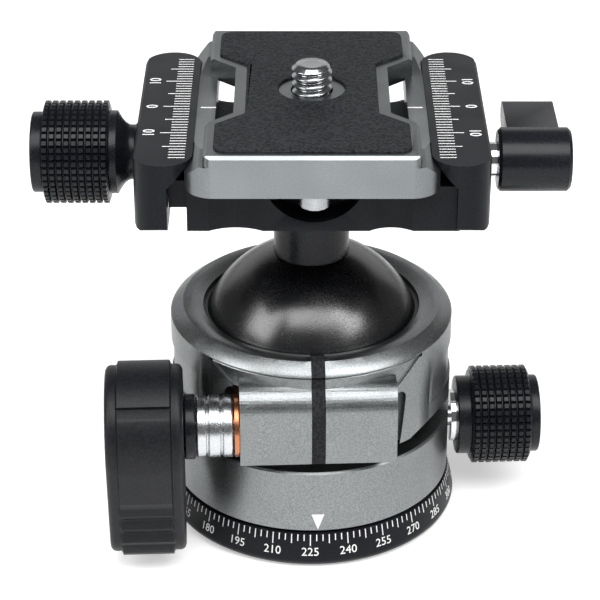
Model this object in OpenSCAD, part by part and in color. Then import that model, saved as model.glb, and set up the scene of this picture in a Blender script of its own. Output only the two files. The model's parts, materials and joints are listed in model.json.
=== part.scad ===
// Tripod ball head with a panning base, a split clamping collar and a quick-release clamp.
// Millimetres. Origin: centre of the base's underside. +Z up, front is -Y.

/* [Base] */
// Radius by which the base's top edge stands out past the housing
base_lip = 0.1; // [0:0.05:0.5]
// Radius by which the base's skirt stands out past its top edge
base_flare = 1.1; // [0.4:0.1:2.5]
// Height of the base ring
base_h = 6.1; // [5:0.1:9]
// Height of the widest part of the skirt
base_flare_z = 1.4; // [0.8:0.1:3]
// Radius by which the underside is drawn in below the widest part
base_undercut = 1.05; // [0.3:0.05:1.5]
// Gap between the base ring and the housing
pan_gap = 0.3; // [0.2:0.05:0.6]
// Radius of the tripod thread hole (3/8 inch, 16 per inch)
socket_r = 4; // [3.2:0.05:4.2]
// Depth of the tripod thread hole
socket_depth = 6.6; // [5:0.1:7]
// Height of the cone at the bottom of the tripod thread hole
socket_cone = 0.6; // [0.4:0.1:0.8]
// Wall of the steel tripod bushing
bushing_wall = 2.5; // [2.2:0.1:3]
// Radius of the retaining disc that holds the housing down
retainer_r = 9.2; // [8.6:0.1:10.5]
// Thickness of the retaining disc
retainer_t = 1; // [0.8:0.1:1.3]
// Shaft radius of the retaining screws
retainer_screw_r = 0.8; // [0.6:0.05:0.9]
// Depth to which the retaining screws reach into the bushing
retainer_screw_l = 3; // [2:0.1:3.2]
// Wall of the upright pan ring that the pan lock grips
pan_ring_wall = 1.8; // [1.4:0.1:2.2]
// Height of the pan ring above the base
pan_ring_h = 9.6; // [8:0.1:9.8]

/* [Housing] */
// Wall of the housing
housing_wall = 3.4; // [3:0.1:4.5]
// Thickness of the seat carrier below the middle of the bowl
carrier_floor = 2.45; // [2.3:0.05:4]
// Distance of the clamping slot's lower edge below the ball's centre
slot_drop = 10.9; // [10:0.1:11.5]
// Height of the clamping slot
slot_h = 2.6; // [1.6:0.1:3]
// Angle to which the slot runs round, each way from the front
slot_half_angle = 79; // [60:1:84]
// Height of the arched relief over the slot at both sides
arch_rise = 1.45; // [0.8:0.05:2]
// Radius of that arch
arch_r = 19.6; // [12:0.1:26]
// Depth of the arch from the outside
arch_depth = 2; // [1:0.1:2.5]
// Angle from the front at which the relief is highest
arch_angle = 59.5; // [55:0.5:62]
// Height of the collar's top above the ball's centre
collar_rise = 8.55; // [8:0.05:9]
// Radius of the opening that the ball looks out of
opening_r = 17.75; // [17.5:0.05:18.2]
// Width of the slope that rises from the opening to the flat rim
rim_slope_w = 1.75; // [1.2:0.05:2]
// Height of that slope
rim_slope_h = 0.65; // [0.3:0.05:0.9]
// Width of the flat rim
rim_w = 1.55; // [1:0.05:1.8]
// Height lost over the collar's bevel
bevel_drop = 1.6; // [1.4:0.05:1.8]
// Size of the small facet under the bevel
shoulder_facet = 0.25; // [0.1:0.05:0.3]
// Width of the slit through the front of the collar
slit_w = 2.2; // [1.5:0.1:3]
// Depth of the shallow scooped panels on both sides
panel_depth = 0.35; // [0.2:0.05:0.6]
// Height of the side panels
panel_h = 6.3; // [4:0.1:8]
// Angle from the front at which a side panel starts
panel_start = 53; // [50:1:65]

/* [Lock lug] */
// Half width of the lug
lug_hw = 12.4; // [11:0.1:13]
// Distance of the lug's face in front of the lock screw's axis
lug_front = 4.3; // [3.8:0.1:5.5]
// Height from the lock screw's axis to the top of the lug's flat face
lug_flat_up = 3.7; // [3:0.1:4.2]
// Depth by which the pocket over the lug is cut back
pocket_depth = 0.35; // [0.2:0.05:0.9]
// Radius by which the pocket's sides flare out at its top
pocket_flare = 4; // [2:0.1:4.2]
// Distance of the lock screw's axis outside the bore
lock_inset = 1; // [0.9:0.05:1.6]
// Distance of the lock screw's axis below the ball's centre
lock_drop = 3; // [2.6:0.1:4]
// Radius of the lock screw
lock_screw_r = 2; // [1.6:0.05:2.1]
// Radius of the relief beside the lug on the knob's side
scoop_left_r = 2.1; // [1.6:0.1:2.6]
// Height of that relief's top above the lock screw
scoop_left_rise = 6.3; // [5.6:0.1:7]
// Radius of the relief beside the lug on the far side
scoop_right_r = 1.55; // [1:0.05:2.2]
// Height of that relief's top above the lock screw
scoop_right_rise = 4.6; // [3:0.1:6]

/* [Main lock knob] */
// Radius of the copper washer
lock_washer_r = 5; // [4.5:0.1:5.1]
// Thickness of the copper washer
lock_washer_t = 0.85; // [0.5:0.05:1.2]
// Radius of the chrome sleeve
sleeve_r = 4.95; // [4:0.05:5.1]
// Length of the chrome sleeve
sleeve_l = 6.05; // [5.6:0.05:8]
// Radius of the black collar behind the grip
lock_collar_r = 5.2; // [4.8:0.1:6]
// Length of the black collar
lock_collar_l = 1.75; // [1.4:0.05:3]
// Thickness of the rubber grip
grip_t = 12.2; // [10:0.1:14]
// Radius of the grip's round top about the screw
grip_top_r = 10.7; // [9.5:0.1:11]
// Radius of the grip's lower lobe
grip_lobe_r = 6.5; // [5:0.1:7]
// Distance of the lobe's centre below the screw
grip_lobe_drop = 16.4; // [14:0.1:16.8]
// Height by which the grip's middle band stands proud
grip_band = 0.35; // [0.2:0.05:0.8]

/* [Pan lock knob] */
// Height of the pan lock screw above the housing's underside
pan_lock_rise = 7.5; // [7:0.1:8]
// Radius of the pan lock screw
pan_screw_r = 1.8; // [1.4:0.1:1.9]
// Radius of the pan screw's bright shoulder
pan_shaft_r = 4.4; // [3.5:0.1:5]
// Radius of the pan knob's collar
pan_collar_r = 6.6; // [5.5:0.1:7]
// Radius of the pan knob's knurled grip
pan_knurl_r = 8.2; // [7.4:0.1:9]
// Length of the knurled grip
pan_knurl_l = 9.9; // [8:0.1:12]
// Radius of the pan knob's end cap
pan_cap_r = 6.5; // [5:0.1:7]
// Height by which the pan knob's end cap stands out
pan_cap_l = 1.6; // [1:0.1:2.5]

/* [Ball] */
// Radius of the ball
ball_r = 18.5; // [17.9:0.1:18.7]
// Radius of the stem
neck_r = 6.1; // [5.5:0.1:6.6]
// Height of the clamp's underside above the ball's centre
stem_rise = 31.2; // [30:0.1:36]
// Thickness of the seat that the ball turns in
seat_t = 1; // [0.8:0.05:1.2]
// Angle that the seat covers, from straight down
seat_angle = 55; // [45:1:57]

/* [Clamp] */
// Half width of the clamp over both jaws
clamp_hw = 27.1; // [26.4:0.1:29]
// Half length of the clamp's body
clamp_hl = 20.6; // [19.5:0.1:21.5]
// Half length of the jaws
jaw_hl = 22.15; // [21.8:0.05:24]
// Width of a jaw
jaw_w = 9.1; // [8.8:0.1:9.6]
// Height from the clamp's underside to the channel floor
channel_floor = 7.5; // [7.4:0.1:9]
// Height of the jaws' tops above the channel floor
jaw_rise = 4.05; // [3.6:0.05:4.1]
// Gap between the clamp's body and the moving jaw's leg
jaw_gap = 2.9; // [2:0.1:3.2]
// Height of the shelf that closes the gap's top, from the channel floor down
shelf_t = 4.5; // [3:0.1:4.8]
// Half length of that shelf
shelf_hl = 18.5; // [17:0.1:19.4]
// Depth of the two relief pockets in the channel floor's back end
relief_depth = 3.8; // [2:0.1:4]
// Radius of the round notch in each end of the channel
notch_r = 7.9; // [6:0.1:8.4]
// Depth of the notch below the channel floor
notch_depth = 6; // [5:0.1:6.2]
// Depth of the flutes in the clamp's end faces
flute_depth = 1.2; // [0.6:0.1:1.6]
// Distance of the left flute's outer edge from the middle
flute_left_out = 15.7; // [14:0.1:16.5]
// Distance of the left flute's inner edge from the middle
flute_left_in = 7.5; // [7:0.1:9]
// Distance of the right flute's outer edge from the middle
flute_right_out = 15.3; // [14:0.1:16.5]
// Distance of the right flute's inner edge from the middle
flute_right_in = 8.7; // [8:0.1:10]
// Height of the clamp screw above the clamp's underside
clamp_screw_z = 3.7; // [3.6:0.1:3.8]
// Radius of the clamp screw (M6)
clamp_screw_r = 3; // [2.5:0.1:3.1]
// Radius of the guide pins
guide_r = 1.2; // [1:0.1:1.3]
// Distance of each guide pin from the middle
guide_y = 9.5; // [9:0.1:9.6]

/* [Clamp knob] */
// Smallest radius of the flared neck
clamp_neck_r = 4.35; // [4:0.05:5]
// Length of the flared neck
clamp_neck_l = 3.45; // [3:0.05:5]
// Radius of the clamp knob's collar
clamp_collar_r = 6.6; // [6:0.1:7.2]
// Radius of the clamp knob's knurled grip
clamp_knurl_r = 8.15; // [7.5:0.05:9]
// Length of the knurled grip
clamp_knurl_l = 10.4; // [9:0.1:12]
// Radius of the clamp knob's end cap
clamp_cap_r = 6.4; // [5:0.1:7]
// Height by which the clamp knob's end cap stands out
clamp_cap_l = 1.9; // [1:0.1:2.5]

/* [Top pan lever] */
// Height of the lever's screw above the clamp's underside
lever_z = 2.4; // [2.2:0.05:2.5]
// Distance of the lever's barrel from the clamp's side
lever_gap = 2.4; // [1.6:0.1:3.5]
// Radius of the chrome shoulder between the clamp and the lever
lever_shoulder_r = 2.8; // [2:0.1:3.6]
// Radius of the lever screw's shank inside the barrel
lever_shank_r = 2.4; // [1.8:0.1:3]
// Radius of the lever's barrel
lever_barrel_r = 5.1; // [4.5:0.1:6]
// Length of the lever's barrel
lever_barrel_l = 11.6; // [10:0.1:14]
// Width of the lever's arm
lever_arm_w = 8.3; // [6:0.1:9.4]
// Reach of the lever's arm from its axis
lever_reach = 15.5; // [12:0.1:16]

/* [Quick-release plate] */
// Half width of the plate's dovetail flange
flange_hw = 19.2; // [18.9:0.05:19.6]
// Half length of the plate
plate_hl = 25; // [24.6:0.1:28]
// Height of the vertical land on the flange
land_h = 2.6; // [2.2:0.1:3]
// Height of the flange's top ledge
ledge_h = 4.9; // [4.7:0.05:5.2]
// Height of the ledge's lowered middle, beside the strap cut-outs
strap_floor = 3.75; // [3.5:0.05:4.1]
// Length of the ramps from the lowered middle up to the ledge
strap_ramp_l = 5; // [3:0.5:7]
// Half width of the plate's raised block
block_hw = 16.3; // [15.8:0.1:16.8]
// Height of the raised block's top
plate_h = 6.8; // [6.2:0.1:8]
// Thickness by which the rubber pad stands over the plate
pad_t = 0.4; // [0.3:0.1:0.8]
// Radius of the camera screw's thread (1/4 inch, 20 per inch)
camera_screw_r = 3.175; // [3.175:0.001:3.18]
// Height of the camera screw above the plate's block
camera_screw_h = 5.2; // [4.5:0.1:6.5]
// Radius of the safety pins
safety_pin_r = 2.35; // [1.8:0.05:2.5]
// Length of the safety pins below the plate
safety_pin_l = 2.4; // [1.5:0.1:4.7]
// How far the plate can slide each way
plate_travel = 3; // [1:0.5:3]

/* [Fits] */
// Running clearance of turning and sliding fits, on the radius
run_gap = 0.08; // [0.05:0.01:0.1]
// Clearance of pieces fixed in one another
fit_gap = 0.02; // [0.01:0.01:0.05]
// Angle by which the housing is turned on its base
body_turn = 2.6; // [0:0.1:5]

/* [Hidden] */
$fn = 96;
eps = 0.01;
far = 60;

// Ball, seat and housing
ball_gap = 0.05;
cup_gap = 0.1;
cup_in_r = ball_r + ball_gap;
cup_out_r = cup_in_r + seat_t;
bowl_r = cup_out_r + cup_gap;
bore_r = bowl_r + 0.05;
housing_r = bore_r + housing_wall;
housing_z = base_h + pan_gap;
ball_z = housing_z + carrier_floor + bowl_r;
collar_z = ball_z + collar_rise;
slot_z = ball_z - slot_drop;
ring_z = slot_z + slot_h;
carrier_top = slot_z - 0.2;
rim_low_z = collar_z - rim_slope_h;
bore_top = rim_low_z - 1.4;
rim_in_r = opening_r + rim_slope_w;
rim_r = rim_in_r + rim_w;
bevel_z = collar_z - bevel_drop;
edge_chamfer = 0.3;
notch_gap = 0.35;
notch_half_w = neck_r + notch_gap;
ball_flat = sqrt(ball_r * ball_r - neck_r * neck_r);

// Base and pan fit
base_top_r = housing_r + base_lip;
base_max_r = base_top_r + base_flare;
base_foot_r = base_max_r - base_undercut;
bushing_r = socket_r + bushing_wall;
flange_t = 1.1;
retainer_z = housing_z + flange_t + 0.1;
retainer_head_t = retainer_t * 0.6;
retainer_screw_ring = socket_r + bushing_wall / 2;
pan_ring_out = bore_r - 1.7;
pan_ring_in = pan_ring_out - pan_ring_wall;
washer_t = pan_gap - 0.05;

// Lug and main lock
lock_y = bore_r + lock_inset;
scoop_back = 2.3;
scoop_out = 0.3;
lock_z = ball_z - lock_drop;
lug_top_z = lock_z + lug_flat_up;
pocket_top = bevel_z - 0.45;
washer_x = lug_hw + 0.05;
sleeve_x = washer_x + lock_washer_t + 0.05;
collar_x = sleeve_x + sleeve_l;
grip_x = collar_x + lock_collar_l + 0.05;
grip_edge = 0.5;
tangent_bite = 0.05;
grip_band_w = grip_t * 0.66;
nut_r = 2.6;
nut_l = 4.6;

// Pan lock
pan_lock_z = housing_z + pan_lock_rise;
pan_shaft_x = housing_r + 0.3;
pan_collar_x = pan_shaft_x + 1;
pan_knurl_x = pan_collar_x + 2.3;

// Clamp
clamp_z = ball_z + stem_rise;
plate_z = clamp_z + channel_floor + 0.1;
jaw_top = channel_floor + jaw_rise;
jaw_leg_x = 21.9;
base_left_x = jaw_leg_x - jaw_gap;
dovetail_gap = 0.2;
dovetail_sum = flange_hw + land_h + dovetail_gap + 0.1 + channel_floor;
notch_x = 0.35;
notch_centre_z = channel_floor - notch_depth + notch_r;
notch_inner_y = clamp_hl - 4.3;
post_r = 5;
post_top = 4.4;
stem_flange_r = 7;
stem_disc_t = 1;
stem_head_r = 4;
stem_head_t = 1.8;
stem_screw_r = 2;
stem_screw_l = 5.5;
spigot_r = 4;
spigot_l = 8;
clamp_screw_end = 8.3;
guide_end = 6;
guide_z = 2;
clip_t = 0.8;
lever_screw_r = 1.6;
lever_x = clamp_hw + lever_gap;
cap_plug_l = 1.9;
cap_plug_gap = 0.1;
cap_plug = 0.7;

// Plate
pin_y = clamp_hl + 1.6;
slot_out = 15.1;
slot_in = 12.1;
cut_in_y = 8.9;
cut_out_y = 12.9;
pad_hw = 14.8;
pad_hl = plate_hl - 1.5;
pad_hole_r = 5.2;
pad_sunk = 0.4;
screw_head_r = 7.6;
screw_head_t = 2.2;
screw_relief_r = 2.4;

black = [0.12, 0.12, 0.13];
titanium = [0.42, 0.43, 0.46];
plate_grey = [0.45, 0.46, 0.48];
steel = [0.72, 0.73, 0.75];
chrome = [0.85, 0.85, 0.87];
copper = [0.72, 0.45, 0.32];
brass = [0.78, 0.63, 0.3];
rubber = [0.1, 0.1, 0.11];
nylon = [0.85, 0.84, 0.8];

// A round bar along X from x0 to x1
module bar_x(x0, x1, r) {
    translate([x0, 0, 0])
    rotate([0, 90, 0])
    cylinder(h = x1 - x0, r = r);
}

// A turned shape along -X: its points are (radius, distance to the left)
module turned_left(points) {
    rotate([0, -90, 0])
    rotate_extrude()
    polygon(points);
}

// A turned shape along +X: its points are (radius, distance to the right)
module turned_right(points) {
    rotate([0, 90, 0])
    rotate_extrude()
    polygon(points);
}

module turned_body() {
    rotate([0, 0, body_turn])
    children();
}

module at_lock() {
    turned_body()
    translate([0, -lock_y, lock_z])
    children();
}

module at_pan_lock() {
    turned_body()
    translate([0, 0, pan_lock_z])
    children();
}

module at_clamp(z = 0) {
    translate([0, 0, clamp_z + z])
    children();
}

module at_plate() {
    translate([0, 0, plate_z])
    children();
}

module both_sides() {
    children();
    mirror([1, 0, 0])
    children();
}

module both_ends() {
    children();
    mirror([0, 1, 0])
    children();
}

// ---- Base

module pan_base() {
    color(black)
    rotate_extrude()
    polygon([
        [bushing_r + fit_gap, 0],
        [base_foot_r - 0.5, 0],
        [base_foot_r, 0.15],
        [base_max_r - 0.25, base_flare_z * 0.6],
        [base_max_r, base_flare_z],
        [base_max_r - 0.1, base_flare_z + 0.6],
        [base_top_r + 0.1, base_h - 0.3],
        [base_top_r - 0.2, base_h],
        [pan_ring_out, base_h],
        [pan_ring_out, base_h + pan_ring_h],
        [pan_ring_in, base_h + pan_ring_h],
        [pan_ring_in, base_h],
        [bushing_r + fit_gap, base_h]
    ]);
}

module at_retainer_screws() {
    for (k = [0:2])
        rotate([0, 0, 30 + 120 * k])
        translate([retainer_screw_ring, 0, 0])
        children();
}

module tripod_bushing() {
    color(steel)
    difference() {
        cylinder(h = retainer_z, r = bushing_r);
        rotate_extrude()
        polygon([
            [0, -eps],
            [socket_r, -eps],
            [socket_r, socket_depth - socket_cone],
            [socket_r - socket_cone, socket_depth],
            [0, socket_depth]
        ]);
        at_retainer_screws()
        translate([0, 0, retainer_z - retainer_screw_l - 0.2])
        cylinder(h = far, r = retainer_screw_r + fit_gap);
    }
}

module pan_washer() {
    color(nylon)
    translate([0, 0, base_h])
    difference() {
        cylinder(h = washer_t, r = pan_ring_in - 0.5);
        translate([0, 0, -eps])
        cylinder(h = washer_t + 2 * eps, r = bushing_r + 1);
    }
}

module pan_retainer() {
    color(steel)
    difference() {
        translate([0, 0, retainer_z])
        cylinder(h = retainer_t, r = retainer_r);
        at_retainer_screws() {
            cylinder(h = far, r = retainer_screw_r + fit_gap);
            translate([0, 0, retainer_z + retainer_t - retainer_head_t])
            cylinder(h = far, r = retainer_screw_r * 1.75 + fit_gap);
        }
    }
}

module retainer_screws() {
    color(steel)
    at_retainer_screws() {
        translate([0, 0, retainer_z - retainer_screw_l])
        cylinder(h = retainer_screw_l + retainer_t - retainer_head_t / 2, r = retainer_screw_r);
        translate([0, 0, retainer_z + retainer_t - retainer_head_t])
        cylinder(h = retainer_head_t - 0.1, r = retainer_screw_r * 1.75);
    }
}

// ---- Housing

// The housing's round body, with its bevelled top and the slope round its opening
module round_body() {
    rotate_extrude()
    polygon([
        [bore_r, housing_z],
        [housing_r - edge_chamfer, housing_z],
        [housing_r, housing_z + edge_chamfer],
        [housing_r, bevel_z - shoulder_facet / 2],
        [housing_r - shoulder_facet, bevel_z + shoulder_facet],
        [rim_r, collar_z],
        [rim_in_r, collar_z],
        [opening_r, rim_low_z],
        [opening_r, bore_top],
        [bore_r, bore_top]
    ]);
}

// The clamping slot round the front, with a chamfer on its lower edge
module slot_cut() {
    rotate([0, 0, -90 - slot_half_angle])
    rotate_extrude(angle = 2 * slot_half_angle)
    polygon([
        [bore_r - 1, slot_z],
        [housing_r - edge_chamfer, slot_z],
        [housing_r + 0.5, slot_z - edge_chamfer - 0.5],
        [housing_r + 0.5, ring_z],
        [bore_r - 1, ring_z]
    ]);
}

// Outline of the lug seen from its side: y forward of the screw, z up from it
module lug_side() {
    back = lock_inset + 3.2;
    low = ring_z - lock_z;
    polygon([
        [back, low],
        [-lug_front + 0.65, low],
        [-lug_front, low + 1.7],
        [-lug_front, lug_flat_up],
        [back, lug_flat_up]
    ]);
    intersection() {
        translate([0, lug_flat_up])
        circle(r = lug_front);
        translate([-lug_front, lug_flat_up])
        square([lug_front + back, lug_front]);
    }
}

module lug() {
    translate([-lug_hw, -lock_y, lock_z])
    rotate([90, 0, 90])
    linear_extrude(2 * lug_hw)
    lug_side();
}

// The pocket over the lug, flared towards its top as seen from the front
module pocket_cut() {
    low = lug_top_z + 1.3;
    side = lug_hw + 0.3;
    flare = [for (a = [180, 90]) [
        side + pocket_flare * (1 + cos(a)),
        pocket_top - pocket_flare * (1 - sin(a))
    ]];
    difference() {
        translate([0, -housing_r - 5, 0])
        rotate([90, 0, 0])
        translate([0, 0, -housing_r])
        linear_extrude(housing_r)
        polygon(concat(
            [[-side, low], [side, low]],
            flare,
            [for (k = [len(flare) - 1:-1:0]) [-flare[k][0], flare[k][1]]]
        ));
        cylinder(h = far, r = housing_r - pocket_depth);
    }
}

// The thin groove under the collar's edge, with a narrow ledge below it
module lip_groove() {
    half = 47;
    in_r = housing_r - pocket_depth - 0.3;
    rotate([0, 0, -90 - half])
    rotate_extrude(angle = 2 * half)
    polygon([
        [in_r, pocket_top - 0.05],
        [in_r + 0.3, pocket_top - 0.35],
        [housing_r + 3, pocket_top - 0.35],
        [housing_r + 3, pocket_top + 0.2],
        [in_r, pocket_top + 0.2]
    ]);
}

module panel_cuts() {
    offset_in = panel_depth / (1 - sin(panel_start));
    cut_r = housing_r + offset_in * sin(panel_start);
    middle = lock_z + 2.15;
    reach = housing_r * cos(panel_start);
    both_sides()
    difference() {
        translate([0, -reach, middle - panel_h / 2])
        cube([housing_r + 2, 2 * reach, panel_h]);
        translate([-offset_in, 0, 0])
        cylinder(h = far, r = cut_r);
    }
}

// A tapered, domed relief in the body beside the lug's end face
module scoop(side, r, top_z) {
    translate([side * (lug_hw + scoop_out), -lock_y + scoop_back, 0])
    rotate_extrude()
    polygon(concat(
        [[0, ring_z - eps], [r / 2, ring_z - eps]],
        [for (a = [0:15:90]) [r * cos(a), top_z - r + r * sin(a)]]
    ));
}

// The arched relief in the collar's lower edge, once at each side of the slot
module slot_relief(side) {
    rotate([0, 0, side * arch_angle])
    intersection() {
        translate([0, arch_depth - housing_r, ring_z + arch_rise - arch_r])
        rotate([90, 0, 0])
        cylinder(h = arch_depth + 5, r = arch_r);
        translate([-arch_r, -far, ring_z - eps])
        cube([2 * arch_r, far, arch_rise + 1]);
    }
}

module collar_solid(scooped) {
    difference() {
        round_body();
        slot_cut();
        slot_relief(-1);
        slot_relief(1);
        pocket_cut();
        lip_groove();
        if (scooped) {
            scoop(-1, scoop_left_r, lock_z + scoop_left_rise);
            scoop(1, scoop_right_r, lock_z + scoop_right_rise);
        }
    }
    difference() {
        lug();
        cylinder(h = far, r = bore_r + 0.2);
    }
}

module slit(half_w) {
    translate([-half_w, -far, ring_z - eps])
    cube([2 * half_w, far, far]);
}

// The round-bottomed notch at the back, where the stem drops to a level shot
module rear_notch(half_w) {
    translate([0, 0, ball_z]) {
        rotate([-90, 0, 0])
        cylinder(h = far, r = half_w);
        translate([-half_w, 0, 0])
        cube([2 * half_w, far, far]);
    }
}

module at_pan_lock_local() {
    translate([0, 0, pan_lock_z])
    children();
}

module housing() {
    color(titanium)
    turned_body()
    difference() {
        collar_solid(true);
        at_pan_lock_local()
        bar_x(0, far, pan_screw_r + run_gap);
        slit(slit_w / 2);
        rear_notch(notch_half_w);
        panel_cuts();
        translate([0, -lock_y, lock_z]) {
            bar_x(-far, lug_hw, lock_screw_r + run_gap);
            bar_x(lug_hw - nut_l, lug_hw + scoop_right_r / 2, nut_r + fit_gap);
            bar_x(-far, -lug_hw, lock_washer_r + 0.15);
        }
    }
}

module seat_carrier() {
    color(black)
    turned_body()
    difference() {
        translate([0, 0, housing_z])
        cylinder(h = carrier_top - housing_z, r = bore_r - fit_gap);
        translate([0, 0, ball_z])
        sphere(r = bowl_r);
        translate([0, 0, housing_z - eps])
        cylinder(h = far, r = bushing_r + run_gap);
        translate([0, 0, housing_z + flange_t])
        cylinder(h = far, r = retainer_r + 0.3);
        translate([0, 0, housing_z - eps])
        difference() {
            cylinder(h = base_h + pan_ring_h + 0.2 - housing_z, r = pan_ring_out + run_gap);
            cylinder(h = far, r = pan_ring_in - run_gap);
        }
        at_pan_lock_local()
        bar_x(pan_ring_in, far, pan_screw_r + run_gap);
    }
}

module ball_liner() {
    lip_r = opening_r - fit_gap;
    color(rubber)
    turned_body()
    difference() {
        union() {
            translate([0, 0, ball_z - 0.7])
            cylinder(h = bore_top - fit_gap - ball_z + 0.7, r = bore_r - fit_gap);
            translate([0, 0, bore_top - 1])
            cylinder(h = rim_low_z - 0.6 - bore_top + 1, r = lip_r);
        }
        translate([0, 0, ball_z])
        sphere(r = cup_in_r);
        rear_notch(notch_half_w);
    }
}

module split_strip() {
    color([0.2, 0.2, 0.21])
    turned_body()
    difference() {
        intersection() {
            collar_solid(false);
            slit(slit_w / 2 - fit_gap);
        }
        translate([0, 0, ring_z - 1])
        cylinder(h = far, r = bore_r);
        translate([0, -lock_y, lock_z])
        bar_x(-slit_w, slit_w, lock_screw_r + 0.15);
    }
}

module lock_nut() {
    color(steel)
    at_lock()
    difference() {
        bar_x(lug_hw - nut_l, lug_hw - 0.1, nut_r);
        bar_x(0, far, lock_screw_r + run_gap);
    }
}

module lock_washer() {
    color(copper)
    at_lock()
    difference() {
        bar_x(-washer_x - lock_washer_t, -washer_x, lock_washer_r);
        bar_x(-far, 0, lock_screw_r + run_gap);
    }
}

module pan_shoe() {
    color(brass)
    at_pan_lock()
    bar_x(pan_ring_out + 0.2, pan_ring_out + 2, pan_screw_r);
}

// ---- Main lock knob

module lock_screw() {
    color(steel)
    at_lock()
    bar_x(-grip_x - grip_t * 0.7, lug_hw - 0.4, lock_screw_r);
}

module lock_sleeve() {
    groove = 0.25;
    color(chrome)
    at_lock()
    turned_left(concat(
        [[lock_screw_r + fit_gap, sleeve_x], [sleeve_r - 0.15, sleeve_x], [sleeve_r, sleeve_x + 0.15]],
        [for (share = [0.31, 0.69], step = [-1, 0, 1])
            [sleeve_r - (step == 0 ? groove : 0), sleeve_x + sleeve_l * share + step * 0.2]],
        [[sleeve_r, collar_x], [lock_screw_r + fit_gap, collar_x]]
    ));
}

module lock_hub() {
    color(black)
    at_lock()
    turned_left([
        [lock_screw_r + fit_gap, collar_x + 0.02],
        [lock_collar_r, collar_x + 0.02],
        [lock_collar_r, grip_x - 0.05],
        [lock_screw_r * 2, grip_x - 0.05],
        [lock_screw_r * 2, grip_x + grip_t * 0.7],
        [lock_screw_r + fit_gap, grip_x + grip_t * 0.7]
    ]);
}

// Outline of the grip: a round top and a lobe below, joined by tangents
module grip_outline(grow) {
    top_r = grip_top_r + grow;
    lobe_r = grip_lobe_r + grow;
    lean = asin((top_r - lobe_r) / grip_lobe_drop);
    top_x = top_r * cos(lean) - tangent_bite;
    lobe_x = lobe_r * cos(lean) - tangent_bite;
    lobe_z = -grip_lobe_drop - lobe_r * sin(lean);
    circle(r = top_r);
    translate([0, -grip_lobe_drop])
    circle(r = lobe_r);
    polygon([
        [top_x, -top_r * sin(lean)],
        [lobe_x, lobe_z],
        [-lobe_x, lobe_z],
        [-top_x, -top_r * sin(lean)]
    ]);
}

module grip_slab(from, thick, grow) {
    translate([-from - thick, 0, 0])
    rotate([90, 0, 90])
    linear_extrude(thick)
    grip_outline(grow);
}

module lock_grip() {
    band_from = grip_x + (grip_t - grip_band_w) / 2;
    color(rubber)
    at_lock()
    difference() {
        union() {
            grip_slab(grip_x, grip_t, -grip_edge);
            grip_slab(grip_x + grip_edge, grip_t - 2 * grip_edge, -grip_band);
            grip_slab(band_from, grip_band_w, 0);
        }
        bar_x(-grip_x - grip_t * 0.7 - fit_gap, 0, lock_screw_r * 2 + fit_gap);
    }
}

// ---- Pan lock knob

module pan_screw() {
    color(steel)
    at_pan_lock()
    union() {
        bar_x(pan_ring_out + 2.1, pan_knurl_x + pan_knurl_l * 0.6, pan_screw_r);
        bar_x(pan_shaft_x, pan_collar_x - fit_gap, pan_shaft_r);
    }
}

module pan_knob() {
    hole = pan_screw_r + fit_gap;
    end = pan_knurl_x + pan_knurl_l;
    color(black)
    at_pan_lock()
    turned_right([
        [hole, pan_collar_x],
        [pan_collar_r - 0.4, pan_collar_x],
        [pan_collar_r, pan_collar_x + 0.4],
        [pan_collar_r, pan_knurl_x],
        [pan_knurl_r - 0.5, pan_knurl_x],
        [pan_knurl_r, pan_knurl_x + 0.5],
        [pan_knurl_r, end - 0.5],
        [pan_knurl_r - 0.5, end],
        [pan_cap_r * cap_plug + fit_gap, end],
        [pan_cap_r * cap_plug + fit_gap, end - cap_plug_l - cap_plug_gap],
        [hole, end - cap_plug_l - cap_plug_gap]
    ]);
}

module pan_knob_cap() {
    end = pan_knurl_x + pan_knurl_l;
    color(black)
    at_pan_lock()
    turned_right([
        [0, end - cap_plug_l],
        [pan_cap_r * cap_plug, end - cap_plug_l],
        [pan_cap_r * cap_plug, end + fit_gap],
        [pan_cap_r, end + fit_gap],
        [pan_cap_r, end + pan_cap_l - 0.4],
        [pan_cap_r - 0.4, end + pan_cap_l],
        [0, end + pan_cap_l]
    ]);
}

// ---- Ball and stem

module ball_seat() {
    color(nylon)
    turned_body()
    translate([0, 0, ball_z])
    difference() {
        sphere(r = cup_out_r);
        sphere(r = cup_in_r);
        translate([0, 0, -cup_in_r * cos(seat_angle)])
        cylinder(h = far, r = far);
    }
}

module ball() {
    color(black)
    turned_body()
    translate([0, 0, ball_z])
    difference() {
        sphere(r = ball_r);
        translate([0, 0, ball_flat])
        cylinder(h = far, r = far);
        translate([0, 0, ball_flat - spigot_l])
        cylinder(h = far, r = spigot_r + fit_gap);
    }
}

module stem() {
    neck_low = ball_z + ball_flat + 0.01;
    neck_high = clamp_z - 0.3;
    color(black)
    difference() {
        union() {
            translate([0, 0, neck_low - spigot_l + 0.1])
            cylinder(h = spigot_l, r = spigot_r);
            translate([0, 0, neck_low])
            cylinder(h = neck_high - neck_low, r = neck_r);
            translate([0, 0, neck_low + 5])
            cylinder(h = clamp_z + post_top - neck_low - 5, r = post_r);
        }
        translate([0, 0, clamp_z + post_top - stem_screw_l - 0.5])
        cylinder(h = far, r = stem_screw_r + fit_gap);
    }
}

module stem_retainer() {
    color(steel)
    at_clamp(post_top)
    difference() {
        translate([0, 0, 0.1])
        cylinder(h = stem_disc_t, r = stem_flange_r);
        cylinder(h = far, r = stem_screw_r + fit_gap);
    }
}

module stem_screw() {
    head_z = stem_disc_t + run_gap * 1.5;
    color(steel)
    at_clamp(post_top)
    difference() {
        union() {
            translate([0, 0, -stem_screw_l])
            cylinder(h = stem_screw_l + head_z + 0.5, r = stem_screw_r);
            translate([0, 0, head_z])
            cylinder(h = stem_head_t - 0.3, r = stem_head_r);
        }
        translate([0, 0, head_z + 0.5])
        cylinder(h = far, r = stem_screw_r * 0.85, $fn = 6);
    }
}

// ---- Clamp

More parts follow.
